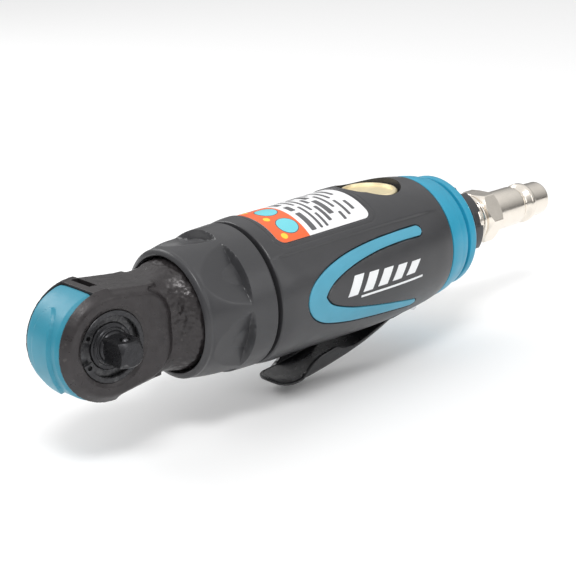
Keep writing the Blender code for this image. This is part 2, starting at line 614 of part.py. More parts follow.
def make_motor_case(mats):
    """Cylinder, end plates, bearings and dowel around the rotor."""
    cylinder = revolve("motor_cylinder", [(50.5, 0), (50.5, 16.5), (81.5, 16.5), (81.5, 0)],
                       mats["alloy"], segments=BIG)
    bore = revolve("bore", [(45, 0), (45, CYL_BORE_R), (90, CYL_BORE_R), (90, 0)],
                   centre=(0.0, -CYL_OFFSET), segments=BIG)
    dowel_hole = revolve("dowel_hole", [(45, 0), (45, 1.0), (90, 1.0), (90, 0)], centre=(0.0, 14.4),
                         segments=10)
    ports = [box("port", (62.0, y - 0.9, 11.0), (70.0, y + 0.9, 20.0)) for y in (-5.0, 5.0)]
    cut(cylinder, bore, dowel_hole, *ports)
    flange_x = MOTOR_STEP_X + GAP
    front = revolve("motor_front_plate", [(38.2, 8.3), (38.2, 10.4), (flange_x, 10.4), (flange_x, 16.5),
                                          (50.2, 16.5), (50.2, 3.2), (43.2, 3.2), (43.2, 8.3)],
                    mats["alloy"], segments=MED)
    rear = revolve("motor_rear_plate", [(81.8, 3.2), (81.8, 16.5), (86.9, 16.5), (86.9, 6.7), (83.2, 6.7),
                                        (83.2, 3.2)], mats["alloy"], segments=MED)
    dowels = [revolve("d", [(x0, 0), (x0, 1.0), (x1, 1.0), (x1, 0)], centre=(0.0, 14.4), segments=10)
              for x0, x1 in ((48.6, 52.0), (80.0, 84.0))]
    cut(front, dowels[0])
    cut(rear, dowels[1])
    revolve("cylinder_dowel", [(49.0, 0), (49.0, 0.8), (83.6, 0.8), (83.6, 0)], mats["bearing_steel"],
            "X", (0.0, 14.4), 10)
    for name, x0, x1, outer in (("front_bearing", 38.5, 42.9, 8.2), ("rear_bearing", 83.5, 86.8, 6.6)):
        inner = 2.9 + RUN
        middle = (inner + outer) / 2.0
        revolve(name, [(x0, inner), (x0, middle - 0.7), (x0 + 0.5, middle - 0.7), (x0 + 0.5, middle + 0.7),
                       (x0, middle + 0.7), (x0, outer), (x1, outer), (x1, inner)],
                mats["bearing_steel"], segments=16)


# ---- grip ---------------------------------------------------------------------------
def body_radius(x):
    """Outside radius of the grip at x."""
    for (x0, r0), (x1, r1) in zip(BODY_PROFILE, BODY_PROFILE[1:]):
        if x <= x1:
            return r0 + (r1 - r0) * (x - x0) / (x1 - x0)
    return BODY_PROFILE[-1][1]


def on_body(x, theta_deg, depth):
    """Point on the grip at station x and angle theta from +Y towards +Z, depth below it."""
    r = body_radius(x) - depth
    a = math.radians(theta_deg)
    return Vector((x, r * math.cos(a), r * math.sin(a)))


def inlay_route(side):
    """Centre line (x, theta, half width) of an inlay, with a smooth point between stations."""
    points = []
    last = len(INLAY_LINE) - 1
    for k in range(last):
        before, one = INLAY_LINE[max(k - 1, 0)], INLAY_LINE[k]
        two, after = INLAY_LINE[k + 1], INLAY_LINE[min(k + 2, last)]
        points.append(one)
        points.append(tuple((9 * (b + c) - a - d) / 16 for a, b, c, d in zip(before, one, two, after)))
    points.append(INLAY_LINE[last])
    return [(x, theta if side < 0 else 180.0 - theta, width) for x, theta, width in points]


def ribbon(name, side, grow, floor, top, mat):
    """Curved strip along the inlay's route, floor and top being depths below the grip."""
    route = inlay_route(side)
    count = len(route)
    bm = bmesh.new()
    rings = []
    for k, (x, theta, half) in enumerate(route):
        before = route[max(k - 1, 0)]
        after = route[min(k + 1, count - 1)]
        radius = body_radius(x)
        per_deg = math.radians(1.0) * radius
        along = Vector((after[0] - before[0], (after[1] - before[1]) * per_deg)).normalized()
        across = Vector((-along.y, along.x))
        shift = 0.0
        if k == 0:
            shift = -grow
        if k == count - 1:
            shift = grow
        cx = x + along.x * shift
        ct = theta + along.y * shift / per_deg
        ring = []
        for depth, order in ((floor, (-1, 0, 1)), (top, (1, 0, -1))):
            for s in order:
                px = cx + across.x * s * (half + grow)
                pt = ct + across.y * s * (half + grow) / per_deg
                ring.append(bm.verts.new(on_body(px, pt, depth)))
        rings.append(ring)
    for one, two in zip(rings, rings[1:]):
        for i in range(6):
            j = (i + 1) % 6
            bm.faces.new((one[i], one[j], two[j], two[i]))
    bm.faces.new(rings[0])
    bm.faces.new(rings[-1])
    return finish_mesh(bm, name, mat, (0, 0, 0))


def patch(name, x0, x1, theta0, theta1, floor, top, mat, steps=9):
    """Thin curved sheet on the grip between two stations and two angles."""
    bm = bmesh.new()
    rings = []
    for i in range(steps):
        theta = theta0 + (theta1 - theta0) * i / (steps - 1)
        ring = []
        for depth, stations in ((floor, (x0, (x0 + x1) / 2, x1)), (top, (x1, (x0 + x1) / 2, x0))):
            for x in stations:
                ring.append(bm.verts.new(on_body(x, theta, depth)))
        rings.append(ring)
    for one, two in zip(rings, rings[1:]):
        for i in range(6):
            j = (i + 1) % 6
            bm.faces.new((one[i], one[j], two[j], two[i]))
    bm.faces.new(rings[0])
    bm.faces.new(rings[-1])
    return finish_mesh(bm, name, mat, (0, 0, 0))


def make_grip(mats):
    """Grip housing with motor bore, valve bores, inlet, lever slot and inlay recesses."""
    shell = [(36.2, 0), (36.2, 16.5), (BODY_X0, 16.5), (BODY_X0, 19.6), (BODY_X0 + 0.4, 20.0)]
    shell += BODY_PROFILE[1:]
    shell += [(BODY_X1, 0)]
    body = revolve("grip_housing", shell, mats["grip_black"], segments=BIG)
    motor = revolve("motor", [(30, 0), (30, 13.9), (MOTOR_STEP_X, 13.9), (MOTOR_STEP_X, MOTOR_BORE_R),
                              (MOTOR_X1, MOTOR_BORE_R), (MOTOR_X1, 0)], segments=MED)
    chamber = revolve("chamber", [(-30, 0), (-30, 1.8), (-9.3, 1.8), (-9.3, 2.7), (-6.3, 2.7),
                                  (-6.3, CHAMBER_R), (CAP_FLOOR_Z, CHAMBER_R), (CAP_FLOOR_Z, CAP_HOLE_R),
                                  (30, CAP_HOLE_R), (30, 0)], axis="Z",
                      centre=(VALVE_X, 0.0), segments=MED)
    inlet = revolve("inlet", [(VALVE_X, 0), (VALVE_X, 4.0), (INLET_BORE_X0, 4.0),
                              (INLET_BORE_X0, INLET_BORE_R), (125, INLET_BORE_R), (125, 0)], segments=MED)
    feed = revolve("feed", [(84, 0), (84, 1.7), (VALVE_X, 1.7), (VALVE_X, 0)], centre=(0.0, -7.6),
                   segments=10)
    exhausts = [revolve("exhaust", [(84, 0), (84, 1.9), (125, 1.9), (125, 0)],
                        centre=(11.6 * side, 4.4), segments=12) for side in (-1, 1)]
    lever_slot = box("lever_slot", (LEVER_SLOT_X0, -LEVER_SLOT_HALF_W, -30),
                     (LEVER_SLOT_X1, LEVER_SLOT_HALF_W, LEVER_SLOT_TOP_Z))
    lever_pin = revolve("pin_hole", [(-30, 0), (-30, LEVER_PIN_R + 0.1), (30, LEVER_PIN_R + 0.1), (30, 0)],
                        axis="Y", centre=(LEVER_PIN_X, LEVER_PIN_Z), segments=SMALL)
    recesses = [ribbon("recess", side, GAP, INLAY_DEPTH + 0.35, -1.5, None) for side in (-1, 1)]
    recesses.append(patch("label_recess", LABEL_X0 - GAP, LABEL_X1 + GAP, LABEL_T0 - 1, LABEL_T1 + 1,
                          0.75, -1.5, None))
    cut(body, motor, chamber, inlet, feed, *exhausts, lever_slot, lever_pin, *recesses)
    ribbon("side_inlay_drive_side", -1, 0.0, INLAY_DEPTH, -0.1, mats["inlay_blue"])
    ribbon("side_inlay_knob_side", 1, 0.0, INLAY_DEPTH, -0.1, mats["inlay_blue"])
    patch("rating_label", LABEL_X0, LABEL_X1, LABEL_T0, LABEL_T1, 0.4, 0.05, mats["label_film"])


def make_clamp_nut(mats):
    """Knurl-like sleeve with scooped sides that pulls the head onto the grip housing."""
    outer = [(NUT_X0, 16.2), (NUT_X0 + 0.5, 17.0), (24.6, 17.6), (27.0, 18.3), (30.0, 18.9), (34.0, 19.3),
             (37.5, 19.8), (43.4, 20.0), (NUT_X1, 19.5)]
    inner = [(NUT_X1, 17.0), (26.65, 17.0), (26.65, 15.3), (NUT_X0, 15.3)]
    nut = revolve("clamp_nut", outer + inner, mats["grip_black"], segments=BIG)
    cutters = []
    for index in range(SCOOPS):
        a = math.radians(21.0 + 360.0 * index / SCOOPS)
        bm = bmesh.new()
        ends = []
        for x, half, depth in ((24.0, 1.0, 18.3), (36.8, 6.6, 17.9)):
            corners = []
            for r, w in ((depth, -half), (depth, half), (24.0, half * 1.3), (24.0, -half * 1.3)):
                corners.append(bm.verts.new((x, r * math.cos(a) - w * math.sin(a),
                                             r * math.sin(a) + w * math.cos(a))))
            ends.append(corners)
        for i in range(4):
            j = (i + 1) % 4
            bm.faces.new((ends[0][i], ends[0][j], ends[1][j], ends[1][i]))
        bm.faces.new(ends[0])
        bm.faces.new(ends[1])
        cutters.append(finish_mesh(bm, "scoop", None, (0, 0, 0)))
    cut(nut, *cutters)
    revolve("body_seal_ring", [(NUT_X1 + GAP, 16.85), (BODY_X0 - GAP, 16.85), (BODY_X0 - GAP, 18.0),
                               (NUT_X1 + GAP, 18.0)], mats["seal_rubber"], segments=MED)


# ---- throttle -----------------------------------------------------------------------
def make_throttle(mats):
    """Cap, seat, stem, seals and spring of the throttle valve."""
    centre = (VALVE_X, 0.0)
    revolve("valve_cap", [(12.2, 0), (12.2, 7.0), (13.6, 7.0), (13.6, CAP_R), (CAP_TOP_Z - 0.4, CAP_R),
                          (CAP_TOP_Z, CAP_R - 0.4), (CAP_TOP_Z, 7.0), (CAP_TOP_Z - 0.8, 6.7),
                          (CAP_TOP_Z - 0.8, 0)], mats["brass"], "Z", centre, MED)
    revolve("valve_cap_seal", [(10.3, 6.0), (10.3, 8.4), (11.9, 8.4), (11.9, 6.0)], mats["seal_rubber"],
            "Z", centre, 24)
    revolve("valve_seat", [(-6.0, 2.2), (-6.0, 4.9), (-3.6, 4.9), (-3.6, 2.2)], mats["brass"], "Z",
            centre, 20)
    stem = revolve("valve_stem", [(-19.5, 0), (-19.5, 0.7), (-19.0, STEM_R), (-3.3, STEM_R), (-3.3, 3.9),
                                  (-1.9, 3.9), (-1.9, 1.5), (0.5, 1.5), (0.5, 0)], mats["bearing_steel"],
                   "Z", centre, SMALL, (VALVE_X, 0, 0))
    revolve("stem_seal", [(-9.0, STEM_R + RUN), (-9.0, 2.4), (-7.4, 2.4), (-7.4, STEM_R + RUN)],
            mats["seal_rubber"], "Z", centre, SMALL)
    coil("valve_spring", 3.0, 0.4, -1.6, 11.9, 5, mats["tool_steel"], centre, (VALVE_X, 0, 11.9))
    return stem


def make_lever(mats):
    """Pressed sheet lever: a strip with a round tip, two flaps and two ears on the pin."""
    bm = bmesh.new()
    rings = []
    tip_x = LEVER_LINE[0][0]
    for k, (x, z) in enumerate(LEVER_LINE):
        reach = min((x - tip_x + 0.5) / 8.0, 1.0)
        half = LEVER_HALF_W * math.sqrt(max(1.0 - (1.0 - reach) ** 2, 0.0))
        ring = [bm.verts.new((x, s * half, z + up)) for up, s in
                ((0.0, -1), (0.0, 1), (LEVER_T, 1), (LEVER_T, -1))]
        rings.append(ring)
    for one, two in zip(rings, rings[1:]):
        for i in range(4):
            j = (i + 1) % 4
            bm.faces.new((one[i], one[j], two[j], two[i]))
    bm.faces.new(rings[0])
    bm.faces.new(rings[-1])
    origin = (LEVER_PIN_X, 0, LEVER_PIN_Z)
    lever = finish_mesh(bm, "throttle_lever", mats["grip_black"], origin)
    ear = arc(2.6, 180.0, 0.0, 9, (LEVER_PIN_X, LEVER_PIN_Z)) + [(108.2, -19.0), (102.0, -19.0)]
    for side in (-1, 1):
        inner, outer = sorted((side * (LEVER_HALF_W - 1.3), side * (LEVER_HALF_W - 0.02)))
        fuse(lever, prism("flap", LEVER_FLAP, "Y", inner, outer), prism("ear", ear, "Y", inner, outer))
    hole = revolve("hole", [(-20, 0), (-20, LEVER_PIN_R + RUN), (20, LEVER_PIN_R + RUN), (20, 0)],
                   axis="Y", centre=(LEVER_PIN_X, LEVER_PIN_Z), segments=SMALL)
    cut(lever, hole)
    revolve("trigger_pin", [(-9.6, 0), (-9.6, LEVER_PIN_R), (9.6, LEVER_PIN_R), (9.6, 0)],
            mats["bearing_steel"], "Y", (LEVER_PIN_X, LEVER_PIN_Z), SMALL)
    return lever


# ---- air inlet ----------------------------------------------------------------------
def make_inlet(mats):
    """Exhaust collar, silencer, inlet bushing, screen, washer and nipple."""
    revolve("exhaust_collar", [(COLLAR_X0, 14.4), (COLLAR_X0, 19.0), (119.0, 17.9), (121.9, 17.4),
                               (122.4, 16.8), (123.0, 17.3), (126.2, 16.7), (COLLAR_X1, 16.2),
                               (COLLAR_X1, 11.7), (122.0, 11.7), (122.0, 14.4)],
            mats["cover_blue"], segments=BIG)
    revolve("exhaust_silencer", [(114.5, 10.3), (114.5, 14.0), (121.6, 14.0), (121.6, 10.3)],
            mats["felt"], segments=MED)
    bush = revolve("inlet_bushing", [(INLET_BORE_X0 + GAP, 6.2), (INLET_BORE_X0 + GAP, 9.4), (113.4, 9.4),
                                     (113.4, 9.9), (122.2, 9.9), (122.2, INLET_R), (126.9, INLET_R),
                                     (127.3, INLET_R + 1.2), (129.0, INLET_R + 1.2), (129.4, INLET_R),
                                     (135.8, INLET_R), (INLET_X1, INLET_R - 0.6), (INLET_X1, 5.9),
                                     (124.0, 5.9), (124.0, 4.6), (112.0, 4.6), (112.0, 6.2)],
                   mats["grip_black"], segments=24)
    notches = []
    for index in range(INLET_NOTCHES):
        notch = box("notch", (131.4, -2.2, 9.4), (140.0, 2.2, 14.0))
        notch.rotation_euler = (2.0 * math.pi * index / INLET_NOTCHES, 0.0, 0.0)
        notches.append(notch)
    bpy.context.view_layer.update()
    cut(bush, *notches)
    revolve("inlet_screen", [(108.1, 0), (108.1, 5.9), (111.7, 5.9), (111.7, 4.6), (110.0, 3.2), (110.0, 0)],
            mats["bronze"], segments=20)
    revolve("nipple_washer", [(136.7, 6.1), (136.7, 8.7), (138.6, 8.7), (138.6, 6.1)], mats["nickel"],
            segments=24)
    shank = [(125.0, NIPPLE_BORE_R), (125.0, 5.3), (126.0, 5.6), (138.9, 5.6), (138.9, 8.2), (140.4, 8.2),
             (141.4, 7.0), (144.5, NIPPLE_R), (162.9, NIPPLE_R), (164.0, 5.0), (165.4, 5.0),
             (166.6, 6.4), (168.3, 6.4), (168.9, 5.5), (NIPPLE_X1 - 0.8, 5.4), (NIPPLE_X1, 4.7),
             (NIPPLE_X1, NIPPLE_BORE_R)]
    body = revolve("air_nipple", shank, mats["nickel"], segments=MED)
    corner = NIPPLE_AF / 2.0 / math.cos(math.pi / 6)
    hexagon = circle(corner, 6, phase=0.0)
    small = circle(corner - 0.9, 6, phase=0.0)
    hexes = loft("hex", [(HEX_X0, small), (HEX_X0 + 0.9, hexagon), (HEX_X1 - 0.9, hexagon),
                         (HEX_X1, small)], "X")
    core = revolve("core", [(100, 0), (100, 5.0), (200, 5.0), (200, 0)], segments=24)
    cut(hexes, core)
    fuse(body, hexes)


def main():
    for obj in list(bpy.data.objects):
        bpy.data.objects.remove(obj)
    mats = make_materials()
    make_head_housing(mats)
    make_nose_cover(mats)
    anvil = make_anvil(mats)
    make_detent(mats, anvil)
    make_pawl_set(mats, anvil)
    make_seat_rings(mats)
    make_yoke(mats)
    crank = make_crank(mats)
    make_gears(mats, crank)
    make_rotor(mats)
    make_motor_case(mats)
    make_grip(mats)
    make_clamp_nut(mats)
    make_throttle(mats)
    make_lever(mats)
    make_inlet(mats)


main()
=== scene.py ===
"""Looks of the mini air ratchet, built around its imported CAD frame.

The origin is where the drive axis crosses the handle axis, +X runs along the handle towards
the air inlet, the square drive points to -Y and +Z is up. Shapes are drawn in millimetres,
angles round the handle are in degrees from +Y towards +Z, and MM turns lengths into metres.
"""
import json
import math

import bmesh
import bpy
import numpy as np
from mathutils import Matrix, Vector, noise


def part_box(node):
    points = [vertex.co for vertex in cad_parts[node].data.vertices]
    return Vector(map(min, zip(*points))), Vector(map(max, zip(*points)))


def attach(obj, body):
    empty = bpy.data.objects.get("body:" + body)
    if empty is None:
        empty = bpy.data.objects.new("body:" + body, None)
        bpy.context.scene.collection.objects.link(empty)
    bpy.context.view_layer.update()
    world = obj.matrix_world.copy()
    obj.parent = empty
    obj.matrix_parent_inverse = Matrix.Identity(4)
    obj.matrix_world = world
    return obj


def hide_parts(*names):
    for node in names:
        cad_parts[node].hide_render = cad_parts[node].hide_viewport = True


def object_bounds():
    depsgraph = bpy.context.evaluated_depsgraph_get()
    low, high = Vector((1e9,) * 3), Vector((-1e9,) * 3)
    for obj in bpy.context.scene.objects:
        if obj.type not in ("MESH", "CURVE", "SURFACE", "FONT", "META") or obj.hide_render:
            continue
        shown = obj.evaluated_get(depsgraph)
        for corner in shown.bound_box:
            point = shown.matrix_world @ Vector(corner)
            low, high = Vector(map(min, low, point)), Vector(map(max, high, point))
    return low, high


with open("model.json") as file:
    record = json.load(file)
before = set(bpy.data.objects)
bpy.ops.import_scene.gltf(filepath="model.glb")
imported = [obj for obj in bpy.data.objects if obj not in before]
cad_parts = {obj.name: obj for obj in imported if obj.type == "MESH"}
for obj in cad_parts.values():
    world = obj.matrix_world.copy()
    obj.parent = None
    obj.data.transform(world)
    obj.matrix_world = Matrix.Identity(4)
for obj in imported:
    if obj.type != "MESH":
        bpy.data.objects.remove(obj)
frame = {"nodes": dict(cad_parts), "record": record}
cad_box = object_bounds()

MM = 0.001


def span(node):
    """Lowest and highest corner of a CAD node in millimetres."""
    low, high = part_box(node)
    return low / MM, high / MM


# ---- stations and sizes ---------------------------------------------------------------
NUT_X0, NUT_X1 = span("clamp_nut")[0].x, span("clamp_nut")[1].x
BODY_X0 = span("body_seal_ring")[1].x + 0.3
COLLAR_X0, COLLAR_X1 = span("exhaust_collar")[0].x, span("exhaust_collar")[1].x
BODY_X1 = COLLAR_X0 - 0.3
CAP_LOW, CAP_HIGH = span("valve_cap")
VALVE_X = (CAP_LOW.x + CAP_HIGH.x) / 2
CAP_TOP = CAP_HIGH.z
CAP_R = 8.4
CAP_HOLE_R = 9.4
TIP_Y = span("drive_anvil")[0].y
NIPPLE_X1 = span("air_nipple")[1].x
INLET_X1 = span("inlet_bushing")[1].x
LABEL_X0, LABEL_X1 = span("rating_label")[0].x, span("rating_label")[1].x
LABEL_MIDDLE, LABEL_REACH = 90.0, 41.5
PIN_LOW, PIN_HIGH = span("trigger_pin")
PIN_X = (PIN_LOW.x + PIN_HIGH.x) / 2
PIN_Z = (PIN_LOW.z + PIN_HIGH.z) / 2

DRIVE_HALF = 3.175
FACE_Y = 9.2
NOSE_R = 14.7
CORE_R = 12.2
FRONT_BORE_R = 9.24

GRIP_LINE = [(45.6, 19.75), (48.0, 20.1), (56.0, 20.25), (64.0, 20.35), (76.0, 20.7), (90.0, 20.9),
             (98.0, 20.6), (104.0, 20.15), (109.5, 19.6), (113.0, 19.05)]
NUT_LINE = [(22.8, 16.0), (23.1, 16.7), (24.6, 17.3), (27.0, 17.9), (30.5, 18.55), (34.0, 19.0),
            (37.5, 19.4), (40.8, 19.55), (44.2, 19.7)]
SCOOP_COUNT = 6
SCOOP_PHASE = 21.0
SCOOP_FRONT, SCOOP_REAR, SCOOP_DEPTH = 25.2, 36.4, 2.2

# bores of the grip: spigot, motor, throttle chamber, inlet and lever slot
SPIGOT_X0, SPIGOT_R, SPIGOT_BORE_R = 36.2, 16.5, 13.9
MOTOR_STEP_X, MOTOR_X1, MOTOR_R = 47.6, 87.6, 16.9
CAP_FLOOR_Z, CHAMBER_R = 9.9, 5.2
INLET_BORE_X0, INLET_BORE_R = 107.4, 9.7
SLOT_X0, SLOT_X1, SLOT_HALF_W, SLOT_TOP_Z = 89.6, 109.8, 7.4, -14.2

# centre line of a side inlay: station, angle, half width
INLAY_LINE = [(98.5, 153.0, 1.6), (90.0, 153.0, 1.5), (80.0, 154.6, 1.6), (70.5, 159.0, 1.9),
              (62.8, 166.5, 2.3), (58.3, 176.5, 3.0), (58.0, 186.0, 3.2), (62.0, 196.5, 2.8),
              (70.4, 204.0, 2.4), (80.0, 208.5, 2.0), (89.0, 212.0, 1.6), (97.5, 216.5, 1.3)]
INLAY_R = 20.6             # radius at which the inlay's angles turn into widths
LABEL_R = 20.2             # the same for the label


# ---- mesh building --------------------------------------------------------------------
class Shape:
    """Points and faces gathered in millimetres, with a finish for each face."""

    def __init__(self):
        self.points = []
        self.faces = []
        self.finishes = []

    def skin(self, rings, wrap=False, caps=True, finish=0):
        """Faces over rings of equally many points; each ring closes on itself."""
        start = len(self.points)
        count = len(rings[0])
        total = len(rings)
        for ring in rings:
            self.points.extend(ring)
        before = len(self.faces)
        for k in range(total if wrap else total - 1):
            a = start + k * count
            b = start + ((k + 1) % total) * count
            for i in range(count):
                j = (i + 1) % count
                self.faces.append((a + i, a + j, b + j, b + i))
        if caps and not wrap:
            self.faces.append(tuple(range(start + count - 1, start - 1, -1)))
            last = start + (total - 1) * count
            self.faces.append(tuple(range(last, last + count)))
        self.finishes += [finish] * (len(self.faces) - before)
        return self

    def make(self, name, materials, sharp=30.0):
        """The mesh object, with its faces turned outwards."""
        mesh = bpy.data.meshes.new(name)
        points = np.array([tuple(p) for p in self.points], float) * MM
        mesh.from_pydata(points.tolist(), [], self.faces)
        mesh.polygons.foreach_set("material_index", self.finishes)
        for mat in materials:
            mesh.materials.append(mat)
        turn_out(mesh)
        shade(mesh, sharp)
        obj = bpy.data.objects.new(name, mesh)
        bpy.context.scene.collection.objects.link(obj)
        return obj


def turn_out(mesh):
    """Makes a closed mesh's faces point outwards."""
    bm = bmesh.new()
    bm.from_mesh(mesh)
    bmesh.ops.recalc_face_normals(bm, faces=bm.faces[:])
    bm.to_mesh(mesh)
    bm.free()


def shade(mesh, sharp):
    """Smooth shading with sharp edges past an angle."""
    mesh.shade_smooth()
    mesh.set_sharp_from_angle(angle=math.radians(sharp))


def cosd(angle):
    return math.cos(math.radians(angle))


def sind(angle):
    return math.sin(math.radians(angle))


def line_at(line, x):
    """Value at x of a smooth curve through (x, value) points."""
    xs = np.array([p[0] for p in line], float)
    ys = np.array([p[1] for p in line], float)
    slopes = np.gradient(ys, xs)
    x = np.clip(x, xs[0], xs[-1])
    k = np.clip(np.searchsorted(xs, x) - 1, 0, len(xs) - 2)
    width = xs[k + 1] - xs[k]
    t = (x - xs[k]) / width
    h00 = 2 * t ** 3 - 3 * t ** 2 + 1
    h10 = t ** 3 - 2 * t ** 2 + t
    h01 = -2 * t ** 3 + 3 * t ** 2
    h11 = t ** 3 - t ** 2
    return h00 * ys[k] + h10 * width * slopes[k] + h01 * ys[k + 1] + h11 * width * slopes[k + 1]


def step(low, high, x):
    """0 below low, 1 above high and a smooth rise between; low may be above high."""
    t = np.clip((x - low) / (high - low), 0.0, 1.0)
    return t * t * (3 - 2 * t)


def soften(profile, radius=0.25, steps=3, closed=True):
    """Rounds the corners of an outline of (u, v) or (u, v, radius) points."""
    out = []
    count = len(profile)
    for i, point in enumerate(profile):
        p = Vector(point[:2])
        size = point[2] if len(point) > 2 else radius
        if size == 0 or (not closed and i in (0, count - 1)):
            out.append((p.x, p.y))
            continue
        before = Vector(profile[i - 1][:2]) - p
        after = Vector(profile[(i + 1) % count][:2]) - p
        reach = min(size, 0.45 * before.length, 0.45 * after.length)
        a = p + before.normalized() * reach
        b = p + after.normalized() * reach
        for k in range(steps + 1):
            t = k / steps
            q = a * (1 - t) ** 2 + p * 2 * t * (1 - t) + b * t * t
            out.append((q.x, q.y))
    return out


def point_on(axis, along, u, v):
    """Point at a place along a main axis, with its two other coordinates in order."""
    return {"X": (along, u, v), "Y": (u, along, v), "Z": (u, v, along)}[axis]


def lathe(profile, axis="X", centre=(0.0, 0.0), count=96):
    """Rings of a profile of (along, radius) points turned about an axis."""
    rings = []
    for along, radius in profile:
        ring = []
        for i in range(count):
            a = 2 * math.pi * (i + 0.5) / count
            u = centre[0] + radius * math.cos(a)
            v = centre[1] + radius * math.sin(a)
            ring.append(point_on(axis, along, u, v))
        rings.append(ring)
    return rings


def turned(name, profile, mat, axis="X", centre=(0.0, 0.0), count=96, radius=0.25, solid=False, sharp=30.0):
    """A turned piece with softened edges; a solid one starts and ends on its axis."""
    profile = [(along, max(r, 0.02)) for along, r in soften(profile, radius, closed=not solid)]
    rings = lathe(profile, axis, centre, count)
    return Shape().skin(rings, wrap=not solid).make(name, [mat], sharp)


def drill(profile, axis="X", centre=(0.0, 0.0), count=96):
    """A turned cutter with crisp edges, drawn from its axis out and back to it."""
    return turned("cutter", profile, None, axis, centre, count, 0, True)


def prism(name, outline, axis, low, high, mat=None):
    """A flat outline pulled out along an axis."""
    rings = [[point_on(axis, along, u, v) for u, v in outline] for along in (low, high)]
    return Shape().skin(rings).make(name, [mat])


def carve(obj, tools, operation="DIFFERENCE", sharp=30.0):
    """Applies Booleans with closed tools that are then removed."""
    for tool in tools:
        modifier = obj.modifiers.new("carve", "BOOLEAN")
        modifier.operation = operation
        modifier.solver = "MANIFOLD"
        modifier.object = tool
    return settle(obj, tools, sharp)


def settle(obj, tools=(), sharp=30.0):
    """Applies an object's modifiers and removes the tools that they used."""
    bpy.context.view_layer.update()
    graph = bpy.context.evaluated_depsgraph_get()
    mesh = bpy.data.meshes.new_from_object(obj.evaluated_get(graph))
    obj.modifiers.clear()
    old = obj.data
    finish = old.materials[0] if len(old.materials) else None
    mesh.name = old.name
    mesh.materials.clear()
    mesh.materials.append(finish)
    mesh.polygons.foreach_set("material_index", [0] * len(mesh.polygons))
    obj.data = mesh
    bpy.data.meshes.remove(old)
    for tool in tools:
        bpy.data.objects.remove(tool)
    shade(obj.data, sharp)
    return obj


def place(obj, body, slot, *nodes):
    """Hangs a piece on its CAD body in place of its CAD nodes."""
    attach(obj, body)
    if nodes:
        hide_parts(*nodes)
        obj.name = nodes[0] + "_skin"
    return obj


# ---- materials ------------------------------------------------------------------------
def ramped(tree, value, low, high, start, end):
    """A value from start..end turned into low..high."""
    ramp = tree.nodes.new("ShaderNodeMapRange")
    for name, number in (("From Min", start), ("From Max", end), ("To Min", low), ("To Max", high)):
        ramp.inputs[name].default_value = number
    tree.links.new(value, ramp.inputs["Value"])
    return ramp.outputs["Result"]


